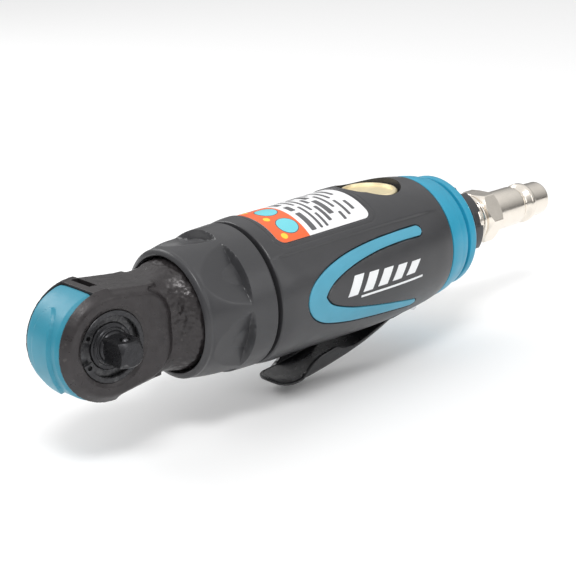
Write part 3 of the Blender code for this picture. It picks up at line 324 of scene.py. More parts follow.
class Finish:
    """A Principled material under construction, in object coordinates."""

    def __init__(self, name, colour, rough, metal=0.0, **sockets):
        self.mat = bpy.data.materials.new(name)
        self.mat.use_nodes = True
        self.nodes = self.mat.node_tree.nodes
        self.links = self.mat.node_tree.links
        self.shader = self.nodes["Principled BSDF"]
        self.colour = colour
        self.rough = rough
        self.shader.inputs["Base Color"].default_value = (*colour, 1.0)
        self.shader.inputs["Roughness"].default_value = rough
        self.shader.inputs["Metallic"].default_value = metal
        for socket, value in sockets.items():
            self.shader.inputs[socket.replace("_", " ")].default_value = value
        self.mat.diffuse_color = (*colour, 1.0)
        self.where = self.nodes.new("ShaderNodeTexCoord").outputs["Object"]
        self.height = None

    def noise(self, size, detail=3.0, rough=0.55, axis=None):
        """Noise with grains of about that many millimetres, drawn along rings if an axis is given."""
        vector = self.ring_vector(axis) if axis else self.where
        tex = self.nodes.new("ShaderNodeTexNoise")
        tex.inputs["Scale"].default_value = 1000.0 / size
        tex.inputs["Detail"].default_value = detail
        tex.inputs["Roughness"].default_value = rough
        self.links.new(vector, tex.inputs["Vector"])
        return tex.outputs["Fac"]

    def ring_vector(self, axis):
        """(along, radius, 0) about a main axis through the origin, for turning marks."""
        split = self.nodes.new("ShaderNodeSeparateXYZ")
        self.links.new(self.where, split.inputs["Vector"])
        along = split.outputs[axis]
        others = [split.outputs[a] for a in "XYZ" if a != axis]
        flat = self.nodes.new("ShaderNodeCombineXYZ")
        self.links.new(others[0], flat.inputs["X"])
        self.links.new(others[1], flat.inputs["Y"])
        length = self.nodes.new("ShaderNodeVectorMath")
        length.operation = "LENGTH"
        self.links.new(flat.outputs["Vector"], length.inputs[0])
        join = self.nodes.new("ShaderNodeCombineXYZ")
        self.links.new(along, join.inputs["X"])
        self.links.new(length.outputs["Value"], join.inputs["Y"])
        return join.outputs["Vector"]

    def span(self, fac, low, high, start=0.3, end=0.7):
        """fac from start..end turned into low..high."""
        return ramped(self.mat.node_tree, fac, low, high, start, end)

    def mix(self, fac, one, two):
        """Blend of two colours, each a tuple or a socket."""
        mix = self.nodes.new("ShaderNodeMix")
        mix.data_type = "RGBA"
        self.links.new(fac, mix.inputs["Factor"])
        for value, socket in ((one, mix.inputs["A"]), (two, mix.inputs["B"])):
            if isinstance(value, tuple):
                socket.default_value = (*value, 1.0)
            else:
                self.links.new(value, socket)
        return mix.outputs["Result"]

    def vary(self, size, spread, **where):
        """Slow light and dark drift of the colour."""
        fac = self.span(self.noise(size, **where), 0.0, 1.0)
        dark = tuple(c * (1 - spread) for c in self.colour)
        light = tuple(min(c * (1 + spread), 1.0) for c in self.colour)
        self.tint = self.mix(fac, dark, light)
        self.links.new(self.tint, self.shader.inputs["Base Color"])
        return self

    def wear(self, colour, low=0.52, high=0.6, amount=0.8):
        """Lighter metal or dust where the surface bends out sharply."""
        geometry = self.nodes.new("ShaderNodeNewGeometry")
        edge = self.span(geometry.outputs["Pointiness"], 0.0, amount, low, high)
        broken = self.span(self.noise(0.8, 4.0), 0.0, 1.0, 0.35, 0.65)
        both = self.nodes.new("ShaderNodeMath")
        both.operation = "MULTIPLY"
        self.links.new(edge, both.inputs[0])
        self.links.new(broken, both.inputs[1])
        self.tint = self.mix(both.outputs["Value"], self.tint, colour)
        self.links.new(self.tint, self.shader.inputs["Base Color"])
        return self

    def rub(self, size, spread, **where):
        """Patches of higher and lower roughness."""
        fac = self.noise(size, **where)
        low, high = max(self.rough - spread, 0.02), self.rough + spread
        self.links.new(self.span(fac, low, high), self.shader.inputs["Roughness"])
        return self

    def bump(self, size, depth, **where):
        """Relief of that grain size and depth in millimetres."""
        node = self.nodes.new("ShaderNodeBump")
        node.inputs["Strength"].default_value = 1.0
        node.inputs["Distance"].default_value = depth * MM
        self.links.new(self.noise(size, **where), node.inputs["Height"])
        if self.height:
            self.links.new(self.height, node.inputs["Normal"])
        self.height = node.outputs["Normal"]
        self.links.new(self.height, self.shader.inputs["Normal"])
        return self


def moulded(name, colour, rough=0.42, grain=0.35, depth=0.012):
    """Satin moulded plastic with a fine spark-eroded grain."""
    return Finish(name, colour, rough).vary(14.0, 0.07).rub(5.0, 0.05).bump(grain, depth, detail=2.0).mat


def machined(name, colour, rough, axis="X", metal=1.0, spread=0.06):
    """Turned metal with fine rings about an axis."""
    finish = Finish(name, colour, rough, metal).vary(3.0, spread).rub(2.0, 0.06)
    return finish.bump(0.25, 0.004, axis=axis, detail=2.0).bump(1.6, 0.003).mat


def make_materials():
    """All finishes by name, the record's slots among them."""
    mats = {
        "grip_black": moulded("grip_black", (0.040, 0.040, 0.043), 0.33),
        "cover_blue": moulded("cover_blue", (0.022, 0.235, 0.335), 0.38, 0.3, 0.006),
        "collar_blue": moulded("collar_blue", (0.018, 0.30, 0.46), 0.36, 0.3, 0.006),
        "inlay_blue": moulded("inlay_blue", (0.075, 0.33, 0.46), 0.46, 0.3, 0.012),
        "seal_rubber": moulded("seal_rubber", (0.012, 0.012, 0.012), 0.6, 0.4, 0.02),
        "vane_resin": moulded("vane_resin", (0.14, 0.06, 0.025), 0.55, 0.6, 0.02),
        "tool_steel": machined("tool_steel", (0.40, 0.40, 0.41), 0.32),
        "bearing_steel": machined("bearing_steel", (0.62, 0.62, 0.64), 0.2),
        "alloy": machined("alloy", (0.62, 0.62, 0.64), 0.35),
        "bronze": machined("bronze", (0.50, 0.31, 0.14), 0.4),
        "nickel": machined("nickel", (0.84, 0.78, 0.70), 0.19, spread=0.03),
        "dark_steel": machined("dark_steel", (0.10, 0.10, 0.105), 0.25),
    }
    cast = Finish("head_cast", (0.034, 0.030, 0.031), 0.34, 0.3)
    cast.vary(2.2, 0.16).wear((0.16, 0.15, 0.14), 0.53, 0.66, 0.35).rub(1.6, 0.09)
    mats["head_cast"] = cast.bump(0.5, 0.03, detail=5.0).bump(0.2, 0.012, detail=2.0).mat
    oxide = Finish("black_oxide", (0.030, 0.030, 0.033), 0.30, 0.6)
    oxide.vary(1.4, 0.15).wear((0.20, 0.20, 0.20), 0.53, 0.64, 0.4).rub(1.2, 0.07)
    mats["black_oxide"] = oxide.bump(0.2, 0.004, axis="Y", detail=2.0).mat
    lever = Finish("lever_black", (0.018, 0.018, 0.020), 0.30, 0.0)
    mats["lever_black"] = lever.vary(9.0, 0.08).rub(3.0, 0.06).bump(0.4, 0.006, detail=3.0).mat
    brass = Finish("brass", (1.0, 0.86, 0.58), 0.48, 1.0).vary(4.0, 0.04).rub(1.5, 0.05)
    mats["brass"] = brass.bump(0.5, 0.004, detail=3.0).mat
    felt = Finish("felt", (0.22, 0.22, 0.22), 0.9, Sheen_Weight=0.3).vary(1.0, 0.2)
    mats["felt"] = felt.rub(0.6, 0.05).bump(0.2, 0.08, detail=4.0).mat
    for name, colour in (("label_film", (0.86, 0.86, 0.87)), ("print_orange", (0.86, 0.13, 0.03)),
                         ("print_cyan", (0.16, 0.62, 0.70)), ("print_yellow", (0.93, 0.62, 0.05)),
                         ("print_grey", (0.10, 0.10, 0.105)), ("mark_white", (0.84, 0.85, 0.86))):
        mats[name] = Finish(name, colour, 0.34).vary(5.0, 0.03).rub(3.0, 0.05).bump(0.5, 0.003).mat
    return mats


# ---- head -----------------------------------------------------------------------------
def arc(radius, start, end, count, centre=(0.0, 0.0)):
    """Points along an arc, both ends included."""
    return [(centre[0] + radius * cosd(start + (end - start) * i / (count - 1)),
             centre[1] + radius * sind(start + (end - start) * i / (count - 1))) for i in range(count)]


def head_side(nose_r, flank, rear_x, rear_r, count=24):
    """Closed (x, z) outline: nose arc, leaning flanks and a rear end with round corners."""
    lean = math.degrees(math.atan2(flank[0][1] - flank[1][1], flank[1][0] - flank[0][0]))
    nose = arc(nose_r, 90.0 - lean + 4.0, 180.0, count)
    side = [(flank[0][0], flank[0][1]), ((flank[0][0] + flank[1][0]) / 2, (flank[0][1] + flank[1][1]) / 2),
            flank[1]]
    corner = arc(rear_r, 90.0 - lean, 0.0, 12, (rear_x - rear_r, flank[1][1] - rear_r))
    upper = list(reversed(corner)) + list(reversed(side)) + nose
    lower = [(x, -z) for x, z in reversed(upper)][1:]
    return upper + lower


def rounded_box(half_y, half_z, corner, count=10):
    """Rounded rectangle in (y, z)."""
    points = []
    for sy, sz, start in ((1, 1, 0), (-1, 1, 90), (-1, -1, 180), (1, -1, 270)):
        centre = (sy * (half_y - corner), sz * (half_z - corner))
        points += arc(corner, start, start + 90, count, centre)
    return points


def make_head(mats):
    """Cast head: two cheeks round the cover's channel, neck with a rough flare, bores cut last."""
    edge = head_side(NOSE_R, ((1.5, 13.9), (14.0, 12.3)), 19.6, 10.5)
    under = head_side(NOSE_R - 0.45, ((1.5, 13.5), (14.0, 11.9)), 19.1, 10.2)
    rim = head_side(12.75, ((1.5, 12.8), (10.5, 11.4)), 17.6, 8.2)
    pad = head_side(12.1, ((1.5, 12.2), (10.2, 10.9)), 16.8, 7.8)
    shape = Shape()
    for side in (-1, 1):
        sections = ((6.95, edge), (7.0, edge), (7.35, under), (8.8, rim), (FACE_Y, pad))
        shape.skin([[(x, side * y, z) for x, z in outline] for y, outline in sections])
    head = shape.make("head_housing", [mats["head_cast"]])
    core = head_side(CORE_R, ((-2.4, 12.2), (14.0, 12.2)), 19.6, 10.5)
    middle = prism("core", core, "Y", -7.1, 7.1)
    top_line = [(-2.9, 13.95), (0.0, 14.1), (3.0, 13.65), (8.0, 12.95), (12.0, 12.5), (15.0, 12.45)]
    bridge_outline = top_line + [(x, -z) for x, z in reversed(top_line)]
    bridge = prism("bridge", bridge_outline, "Y", -7.1, 7.1)
    stations = ((9.0, 7.9, 12.3, 2.4), (13.0, 7.9, 12.4, 3.2), (16.0, 8.1, 12.7, 4.6),
                (18.0, 8.6, 13.2, 6.4), (19.6, 10.0, 13.6, 8.6), (21.2, 12.4, 14.1, 11.4),
                (22.8, 14.2, 14.6, 14.0), (24.5, 14.8, 14.8, 14.7),
                (28.0, 14.8, 14.8, 14.7))
    neck = Shape().skin([[(x, u, v) for u, v in rounded_box(y, z, r)] for x, y, z, r in stations])
    neck = neck.make("neck", [])
    flange = turned("flange", [(26.6, 0), (26.6, 16.0), (28.7, 16.0), (28.7, 0)], None, solid=True)
    carve(head, [middle, bridge, neck, flange], "UNION")
    remesh = head.modifiers.new("remesh", "REMESH")
    remesh.mode = "VOXEL"
    remesh.voxel_size = 0.3 * MM
    remesh.use_smooth_shade = True
    smooth = head.modifiers.new("smooth", "SMOOTH")
    smooth.factor = 0.5
    smooth.iterations = 4
    settle(head)
    roughen(head.data)
    cavity = arc(12.9, 50.0, 310.0, 25) + [(14.0, -8.9), (16.6, -7.6), (16.6, 7.6), (14.0, 8.9)]
    tools = [
        prism("cavity", [(x * 0.93, z * 0.93) for x, z in cavity], "Y", -4.6, 4.6),
        drill([(-12, 0), (-12, 10.4), (-FACE_Y - 0.1, 10.4), (-FACE_Y + 0.55, FRONT_BORE_R),
               (-4.4, FRONT_BORE_R), (-4.4, 0)], "Y"),
        drill([(4.4, 0), (4.4, 5.0), (8.6, 5.0), (12, 8.4), (12, 0)], "Y"),
        drill([(15.0, 0), (15.0, 6.2), (17.4, 6.2), (17.4, 7.3), (25.9, 7.3), (25.9, 11.9), (30, 11.9),
               (30, 0)]),
        slot_tool("slot_top", 1), slot_tool("slot_bottom", -1),
    ]
    carve(head, tools)
    return place(head, "root", "head_cast", "head_housing")


def slot_tool(name, side):
    """Cutter of the narrow slot behind each end of the cover, with a ramp at its near end."""
    rings = []
    for y, low in ((-2.2, 14.6), (-1.9, 12.6), (-1.0, 11.6), (6.0, 11.5)):
        rings.append([(x, y, side * z) for x, z in ((-0.9, low), (1.4, low), (1.4, 17.0), (-0.9, 17.0))])
    return Shape().skin(rings).make(name, [])


def roughen(mesh):
    """Cast lumps that grow from the face to the neck, and a faint grain everywhere."""
    count = len(mesh.vertices)
    points = np.zeros(count * 3)
    normals = np.zeros(count * 3)
    mesh.vertices.foreach_get("co", points)
    mesh.vertices.foreach_get("normal", normals)
    points = points.reshape(-1, 3)
    neck = np.clip((points[:, 0] / MM - 15.5) / 4.0, 0, 1) * np.clip((27.0 - points[:, 0] / MM) / 2.0, 0, 1)
    shift = []
    for point, share in zip(points / MM, neck):
        p = Vector(point)
        lumps = noise.noise(p * 0.5) * 0.20 + noise.noise(p * 1.2) * 0.15
        shift.append(lumps * share + noise.noise(p * 2.6) * 0.018)
    points += normals.reshape(-1, 3) * np.array(shift)[:, None] * MM
    mesh.vertices.foreach_set("co", points.ravel())
    mesh.update()


def make_nose_cover(mats):
    """Blue band round the nose with a raised lens along its middle."""
    half_w = 6.95
    start, end = 103.6, 256.4
    steps, across = 150, 40
    rings = []
    for k in range(steps + 1):
        t = k / steps
        angle = start + (end - start) * t
        tip = min(t, 1 - t) * (end - start) * math.pi / 180 * NOSE_R
        pull = 2.4 * (1 - math.sqrt(max(1 - (1 - min(tip / 2.4, 1.0)) ** 2, 0.0)))
        width = half_w - pull * 0.8
        ring = []
        for i in range(across + 1):
            y = width * (2 * i / across - 1)
            rim = min(width - abs(y), max(tip, 0.0) + 0.05)
            crown = NOSE_R + 0.22 - 0.5 * (1 - step(0.0, 1.0, rim)) - 0.16 * (y / half_w) ** 2
            crown -= 0.55 * step(40.0, 76.0, abs(angle - 180.0))
            ring.append((angle, y, crown + lens(angle, y)))
        for i in range(across + 1):
            y = width * (1 - 2 * i / across)
            ring.append((angle, y, CORE_R + 0.3))
        rings.append([(r * cosd(a), y, r * sind(a)) for a, y, r in ring])
    cover = Shape().skin(rings).make("nose_cover", [mats["cover_blue"]], 40.0)
    return place(cover, "root", "cover_blue", "nose_cover")


def lens(angle, y):
    """Height of the raised lens on the cover."""
    u = (angle - 181.0) / 47.0
    if abs(u) >= 1:
        return 0.0
    half = 3.9 * math.sqrt(1 - abs(u) ** 3)
    return 0.75 * float(step(0.0, 0.7, half - abs(y + 0.3)))


def make_circlip(mats):
    """Split ring with a drilled lug on each side of its gap."""
    steps = 120
    chamfer = 0.12
    y0, y1 = -8.95, -8.15
    rings = []
    for k in range(steps + 1):
        a = 158.0 - 320.0 * k / steps
        from_end = min(k, steps - k) / steps * 320.0
        inner = 7.75 - 1.0 * float(step(22.0, 12.0, from_end))
        outer = 9.1
        section = ((outer - chamfer, y0), (outer, y0 + chamfer), (outer, y1), (inner, y1),
                   (inner, y0 + chamfer), (inner + chamfer, y0))
        rings.append([(r * cosd(a), y, r * sind(a)) for r, y in section])
    clip = Shape().skin(rings).make("circlip", [mats["black_oxide"]])
    holes = []
    for a in (150.0, 206.0):
        centre = (7.95 * cosd(a), 7.95 * sind(a))
        holes.append(drill([(-10, 0), (-10, 0.62), (-7, 0.62), (-7, 0)], "Y", centre, 24))
    carve(clip, holes)
    return place(clip, "root", "black_oxide", "circlip")


def make_spring_washer(mats):
    """Flat spiral spring washer of nearly two turns under the circlip."""
    turns, steps = 1.93, 220
    rings = []
    for k in range(steps + 1):
        t = k / steps
        a = 68.0 + 360.0 * turns * t
        y = -7.72 + 0.36 * turns * t
        taper = 0.32 * min(1.0, min(t, 1 - t) * 30 + 0.15)
        section = ((6.06, y), (8.75, y), (8.75, y + taper), (6.06, y + taper))
        rings.append([(r * cosd(a), yy, r * sind(a)) for r, yy in section])
    washer = Shape().skin(rings).make("spring_washer", [mats["black_oxide"]])
    return place(washer, "root", "black_oxide", "spring_washer")


def make_anvil(mats):
    """Square drive: stepped boss, square with cone-turned corners, ball hole, pawl pocket."""
    profile = [(8.9, 0), (8.9, 4.9), (4.3, 4.9), (4.3, 7.3), (-4.6, 7.3), (-4.6, 8.9), (-5.6, 8.9),
               (-5.6, 5.95), (-8.0, 5.95), (-8.2, 5.6), (-8.2, 4.9), (-8.6, 4.7), (-8.6, 4.2),
               (-9.2, 4.0), (-9.6, 3.6), (-9.6, 0)]
    body = turned("drive_anvil", profile, mats["black_oxide"], "Y", radius=0.18, solid=True)
    half = DRIVE_HALF
    outline = soften([(half, -half), (half, half), (-half, half), (-half, -half)], 0.35, 4)
    square = prism("square", outline, "Y", -9.0, TIP_Y)
    cone = drill([(-8.0, 0), (-8.0, 5.0), (TIP_Y + 1.75, 4.6), (TIP_Y + 0.12, 3.0), (TIP_Y, 2.85),
                  (TIP_Y, 0)], "Y")
    carve(square, [cone], "INTERSECT")
    carve(body, [square], "UNION")
    low, high = span("detent_ball")
    ball_y = (low.y + high.y) / 2
    tools = [
        prism("pocket", [(-9.0, -6.0), (-2.0, -6.0), (-2.0, 6.0), (-9.0, 6.0)], "Y", -3.7, 3.7),
        drill([(1.4, 0), (1.4, 3.0), (12, 3.0), (12, 0)], "Y", count=32),
        drill([(-1.6, 0), (-1.6, 1.3), (6.0, 1.3), (6.0, 0)], "Z", (0.0, ball_y), 32),
        drill([(-4.25, 0), (-4.25, 1.0), (12, 1.0), (12, 0)], "Y", (-4.6, 0.0), 24),
    ]
    carve(body, tools)
    place(body, "anvil", "black_oxide", "drive_anvil")
    radius = (high.y - low.y) / 2
    profile = [(high.z - radius - radius * cosd(a), max(radius * sind(a), 0.01)) for a in range(0, 181, 9)]
    ball = Shape().skin(lathe(profile, "Z", (0.0, ball_y), 32)).make("detent_ball", [mats["dark_steel"]])
    place(ball, "detent", "bearing_steel", "detent_ball")


def make_reverse_knob(mats):
    """Disc with a grip bar, scalloped round its rim, on the face away from the drive."""
    low, high = span("reverse_knob")
    rings = []
    profile = soften([(2.0, 0.05, 0), (2.0, 2.94, 0), (9.5, 2.94, 0), (9.5, 7.4), (10.0, 7.7), (11.2, 7.7),
                      (11.8, 7.1), (11.8, 0.05, 0)], 0.3)
    for along, radius in profile:
        ring = []
        for i in range(144):
            a = 2.5 * i
            scallop = 0.22 * step(6.5, 7.5, radius) * (0.5 - 0.5 * math.cos(math.radians(a * 18)))
            ring.append(((radius - scallop) * cosd(a), along, (radius - scallop) * sind(a)))
        rings.append(ring)
    knob = Shape().skin(rings).make("reverse_knob", [mats["black_oxide"]])
    outline = soften([(-1.7, low.z), (1.7, low.z), (2.6, 0.0), (1.7, 6.4), (-1.7, 6.4), (-2.6, 0.0)], 0.8, 5)
    small = [(x * 0.82, z * 0.93) for x, z in outline]
    edge = [(x * 0.93, z * 0.975) for x, z in outline]
    levels = ((11.0, outline), (high.y - 0.5, outline), (high.y - 0.12, edge), (high.y, small))
    tab_rings = [[(x, y, z) for x, z in line] for y, line in levels]
    tab = Shape().skin(tab_rings).make("tab", [])
    carve(knob, [tab], "UNION")
    return place(knob, "reverse_knob", "black_oxide", "reverse_knob")


# ---- sleeve and grip ------------------------------------------------------------------
def make_clamp_nut(mats):
    """Sleeve with six scooped flats that run out towards the head."""
    count, steps = 360, 120
    xs = np.concatenate([NUT_X0 + 1.2 * (1 - np.cos(np.linspace(0, np.pi / 2, 10))),
                         np.linspace(NUT_X0 + 1.4, NUT_X1 - 0.5, steps),
                         [NUT_X1 - 0.25, NUT_X1 - 0.08, NUT_X1]])
    angles = (np.arange(count) + 0.5) * 360.0 / count
    rings = []
    for x in xs:
        base = line_at(NUT_LINE, x)
        if x > NUT_X1 - 0.5:
            base -= 0.5 * (1 - math.sqrt(max(1 - ((x - NUT_X1 + 0.5) / 0.5) ** 2, 0.0)))
        off = (angles - SCOOP_PHASE + 180.0 / SCOOP_COUNT) % (360.0 / SCOOP_COUNT) - 180.0 / SCOOP_COUNT
        radius = scooped(x, off, base)
        rings.append([(x, r * cosd(a), r * sind(a)) for r, a in zip(radius, angles)])
    inner = soften([(NUT_X1, 17.0, 0), (26.65, 17.0, 0), (26.65, 15.3, 0), (NUT_X0 + 0.9, 15.3, 0),
                    (NUT_X0 + 0.1, 15.7, 0)], 0)
    rings += [[(x, r * cosd(a), r * sind(a)) for a in angles] for x, r in inner]
    nut = Shape().skin(rings, wrap=True).make("clamp_nut", [mats["grip_black"]], 38.0)
    return place(nut, "root", "grip_black", "clamp_nut")


def scooped(x, off, base):
    """Radius of the nut at angles off from the middle of a scoop."""
    front, rear = SCOOP_FRONT, SCOOP_REAR
    t = (x - front) / (rear - front)
    if t <= 0 or x > rear + 1.2:
        return np.full_like(off, base)
    ramp = min(t, 1.0)
    deepest = line_at(NUT_LINE, rear) - SCOOP_DEPTH
    shallow = line_at(NUT_LINE, front)
    floor = shallow + (deepest - shallow) * ramp
    flat = floor / np.cos(np.radians(off)) - 0.5 * ramp * np.maximum(1 - (off / 28.0) ** 2, 0.0)
    back = step(rear, rear + 0.7, x + 0.0008 * off ** 2)
    flat = flat + (base + 0.3 - flat) * back
    blend = 0.12
    h = np.clip(0.5 + 0.5 * (base - flat) / blend, 0.0, 1.0)
    return base + (flat - base) * h - blend * h * (1 - h)


def inlay_route(side, fine=8):
    """Points (x, angle, half width) of a smooth curve along the C-shaped inlay on one side."""
    points = []
    last = len(INLAY_LINE) - 1
    for k in range(last):
        a, b = np.array(INLAY_LINE[max(k - 1, 0)]), np.array(INLAY_LINE[k])
        c, d = np.array(INLAY_LINE[k + 1]), np.array(INLAY_LINE[min(k + 2, last)])
        for i in range(fine):
            t = i / fine
            curve = 2 * b + (c - a) * t + (2 * a - 5 * b + 4 * c - d) * t ** 2
            points.append(tuple((curve + (3 * b - a - 3 * c + d) * t ** 3) / 2))
    points.append(INLAY_LINE[last])
    return [(x, angle if side < 0 else 180.0 - angle, width) for x, angle, width in points]


def route_distance(x, angle, radius, side):
    """Distance from the edge of the inlay, negative inside it."""
    route = np.array(inlay_route(side, 3))
    per_degree = math.radians(1.0) * radius
    best = np.full(x.shape, 1e9)
    for (x0, t0, w0), (x1, t1, w1) in zip(route, route[1:]):
        ax, at = x1 - x0, (t1 - t0) * per_degree
        px, pt = x - x0, ((angle - t0 + 180.0) % 360.0 - 180.0) * per_degree
        u = np.clip((px * ax + pt * at) / (ax * ax + at * at), 0.0, 1.0)
        gap = np.hypot(px - u * ax, pt - u * at) - (w0 + (w1 - w0) * u)
        best = np.minimum(best, gap)
    return best


def box_distance(u, v, half_u, half_v, corner):
    """Distance from a rounded rectangle about the origin, negative inside it."""
    du = np.abs(u) - (half_u - corner)
    dv = np.abs(v) - (half_v - corner)
    outside = np.hypot(np.maximum(du, 0), np.maximum(dv, 0))
    return outside + np.minimum(np.maximum(du, dv), 0) - corner


def grip_surface(x, angle):
    """Outside radius of the grip with its shoulders, label field and flattened valve top."""
    radius = line_at(GRIP_LINE, x)
    for side in (-1, 1):
        turn = angle - 140.0 if side < 0 else 40.0 - angle
        turn = (turn + 180.0) % 360.0 - 180.0
        along = step(44.0, 53.0, x) * step(112.0, 101.0, x)
        dip = step(0.0, 2.2, turn) * step(22.0, 2.0, turn)
        radius = radius - 0.62 * dip * along
    up = np.sin(np.radians(angle))
    top = 19.95 / np.maximum(up, 0.2)
    near = step(84.0, 92.0, x) * step(112.5, 104.0, x) * step(0.55, 0.75, up)
    flat = np.minimum(radius, top)
    return radius + (flat - radius) * near


def make_grip(mats):
    """Grip housing with the recesses of its inlays and label, valve bore and lever slot."""
    count, steps = 480, 260
    body_end = BODY_X1 - BODY_X0
    xs = np.concatenate([[0.0, 0.04, 0.12, 0.25], np.linspace(0.45, body_end - 0.45, steps),
                         [body_end - 0.25, body_end - 0.12, body_end - 0.04, body_end]]) + BODY_X0
    angles = (np.arange(count) + 0.5) * 360.0 / count
    x, angle = np.meshgrid(xs, angles, indexing="ij")
    base = grip_surface(x, angle)
    radius = base.copy()
    for side in (-1, 1):
        gap = route_distance(x, angle, INLAY_R, side)
        radius -= 0.95 * step(0.34, 0.06, gap)
    across = ((angle - LABEL_MIDDLE + 180.0) % 360.0 - 180.0) * math.radians(1.0) * LABEL_R
    half_t = math.radians(LABEL_REACH) * LABEL_R
    middle_x, half_x = (LABEL_X0 + LABEL_X1) / 2, (LABEL_X1 - LABEL_X0) / 2
    field = box_distance(x - middle_x, across, half_x + 0.35, half_t + 0.35, 2.6)
    frame_line = box_distance(x - middle_x, across, half_x + 1.7, half_t + 1.7, 3.6)
    radius -= 0.42 * step(0.2, -0.2, field)
    radius -= 0.16 * step(0.32, 0.0, np.abs(frame_line))
    ends = np.minimum(x - BODY_X0, BODY_X1 - x)
    radius -= 0.45 * (1 - np.sqrt(np.clip(1 - (1 - np.clip(ends / 0.45, 0, 1)) ** 2, 0, 1)))
    cosine, sine = np.cos(np.radians(angles)), np.sin(np.radians(angles))
    rings = []
    for k, station in enumerate(xs):
        rings.append([(station, radius[k, i] * cosine[i], radius[k, i] * sine[i]) for i in range(count)])
    inner = [(BODY_X1, 0.02), (MOTOR_X1, 0.02), (MOTOR_X1, MOTOR_R), (MOTOR_STEP_X, MOTOR_R),
             (MOTOR_STEP_X, SPIGOT_BORE_R), (SPIGOT_X0, SPIGOT_BORE_R), (SPIGOT_X0, SPIGOT_R),
             (BODY_X0, SPIGOT_R)]
    rings += [[(station, r * c, r * s) for c, s in zip(cosine, sine)] for station, r in inner]
    grip = Shape().skin(rings, wrap=True).make("grip_housing", [mats["grip_black"]], 42.0)
    slot = [(SLOT_X0, -SLOT_HALF_W), (SLOT_X1, -SLOT_HALF_W), (SLOT_X1, SLOT_HALF_W), (SLOT_X0, SLOT_HALF_W)]
    tools = [
        drill([(-30, 0), (-30, 1.8), (-9.3, 1.8), (-9.3, 2.7), (-6.3, 2.7), (-6.3, CHAMBER_R),
               (CAP_FLOOR_Z, CHAMBER_R), (CAP_FLOOR_Z, CAP_HOLE_R), (30, CAP_HOLE_R), (30, 0)],
              "Z", (VALVE_X, 0.0)),
        drill([(VALVE_X, 0), (VALVE_X, 4.0), (INLET_BORE_X0, 4.0), (INLET_BORE_X0, INLET_BORE_R),
               (125, INLET_BORE_R), (125, 0)], count=64),
        prism("lever_slot", soften(slot, 1.2, 4), "Z", -30.0, SLOT_TOP_Z),
    ]
    carve(grip, tools, sharp=42.0)
    return place(grip, "root", "grip_black", "grip_housing")


def on_grip(x, angle, depth):
    """Point on the grip, depth below its smooth surface."""
    r = float(grip_surface(np.array(x), np.array(angle % 360.0))) - depth
    return (x, r * cosd(angle), r * sind(angle))


def make_inlay(mats, side, name):
    """Soft C-shaped inlay with a low crown and round ends."""
    route = inlay_route(side)
    profile = [(-1.0, 0.5), (-0.985, 0.16), (-0.95, 0.04), (-0.88, -0.02), (-0.7, -0.06), (-0.4, -0.09),
               (0.0, -0.1)]
    profile += [(-s, depth) for s, depth in reversed(profile[:-1])]
    rings = []
    for (x, angle, half), along, shift in round_ended(route):
        per_degree = math.radians(1.0) * INLAY_R
        ring = []
        for s, depth in profile + [(0.9, 0.9), (-0.9, 0.9)]:
            px = x + along.x * shift - along.y * s * half
            pt = angle + (along.y * shift + along.x * s * half) / per_degree
            ring.append(on_grip(px, pt, depth))
        rings.append(ring)
    inlay = Shape().skin(rings).make(name, [mats["inlay_blue"]], 50.0)
    return place(inlay, "root", "inlay_blue", name)


def make_inlays(mats):
    """One inlay on each side."""
    make_inlay(mats, -1, "side_inlay_drive_side")
    make_inlay(mats, 1, "side_inlay_knob_side")


def round_ended(route):
    """Route points with their direction, plus shrinking ones that round both ends."""
    per_degree = math.radians(1.0) * INLAY_R
    out = []
    last = len(route) - 1
    for k, point in enumerate(route):
        before, after = route[max(k - 1, 0)], route[min(k + 1, last)]
        along = Vector((after[0] - before[0], (after[1] - before[1]) * per_degree)).normalized()
        out.append((point, along, 0.0))
    caps = []
    for end, sign in ((0, -1), (last, 1)):
        point, along, _ = out[end]
        cap = []
        for i in range(1, 9):
            a = 90.0 * i / 8.3
            cap.append(((point[0], point[1], point[2] * cosd(a)), along, sign * point[2] * sind(a)))
        caps.append(cap)
    return list(reversed(caps[0])) + out + caps[1]


def patch_rings(rows, depth, thick, columns=14):
    """Closed thin sheet on the grip from rows of (angle, low x, high x)."""
    rings = []
    for angle, low, high in rows:
        xs = [low + (high - low) * i / columns for i in range(columns + 1)]
        top = [on_grip(x, angle, depth) for x in xs]
        bottom = [on_grip(x, angle, depth + thick) for x in reversed(xs)]
        rings.append(top + bottom)
    return rings


def rounded_rows(x0, x1, t0, t1, corner, count=48, which=(1, 1)):
    """Rows of a rounded rectangle; which says if the low and the high x corners are round."""
    per_degree = math.radians(1.0) * LABEL_R
    reach = corner / per_degree
    rows = []
    for k in range(count + 1):
        u = k / count
        angle = t0 + (t1 - t0) * (0.5 - 0.5 * math.cos(math.pi * u))
        edge = min(angle - t0, t1 - angle)
        pull = corner * (1 - math.sqrt(max(1 - (1 - min(edge / reach, 1.0)) ** 2, 0.0)))
        rows.append((angle, x0 + pull * which[0], x1 - pull * which[1]))
    return rows


def disc_rows(x, angle, radius, count=28):
    """Rows of a disc on the grip."""
    per_degree = math.radians(1.0) * LABEL_R
    rows = []
    for k in range(count + 1):
        a = 180.0 * (k + 0.02) / (count + 0.04)
        half = radius * sind(a)
        rows.append((angle - radius / per_degree * cosd(a), x - half, x + half))
    return rows


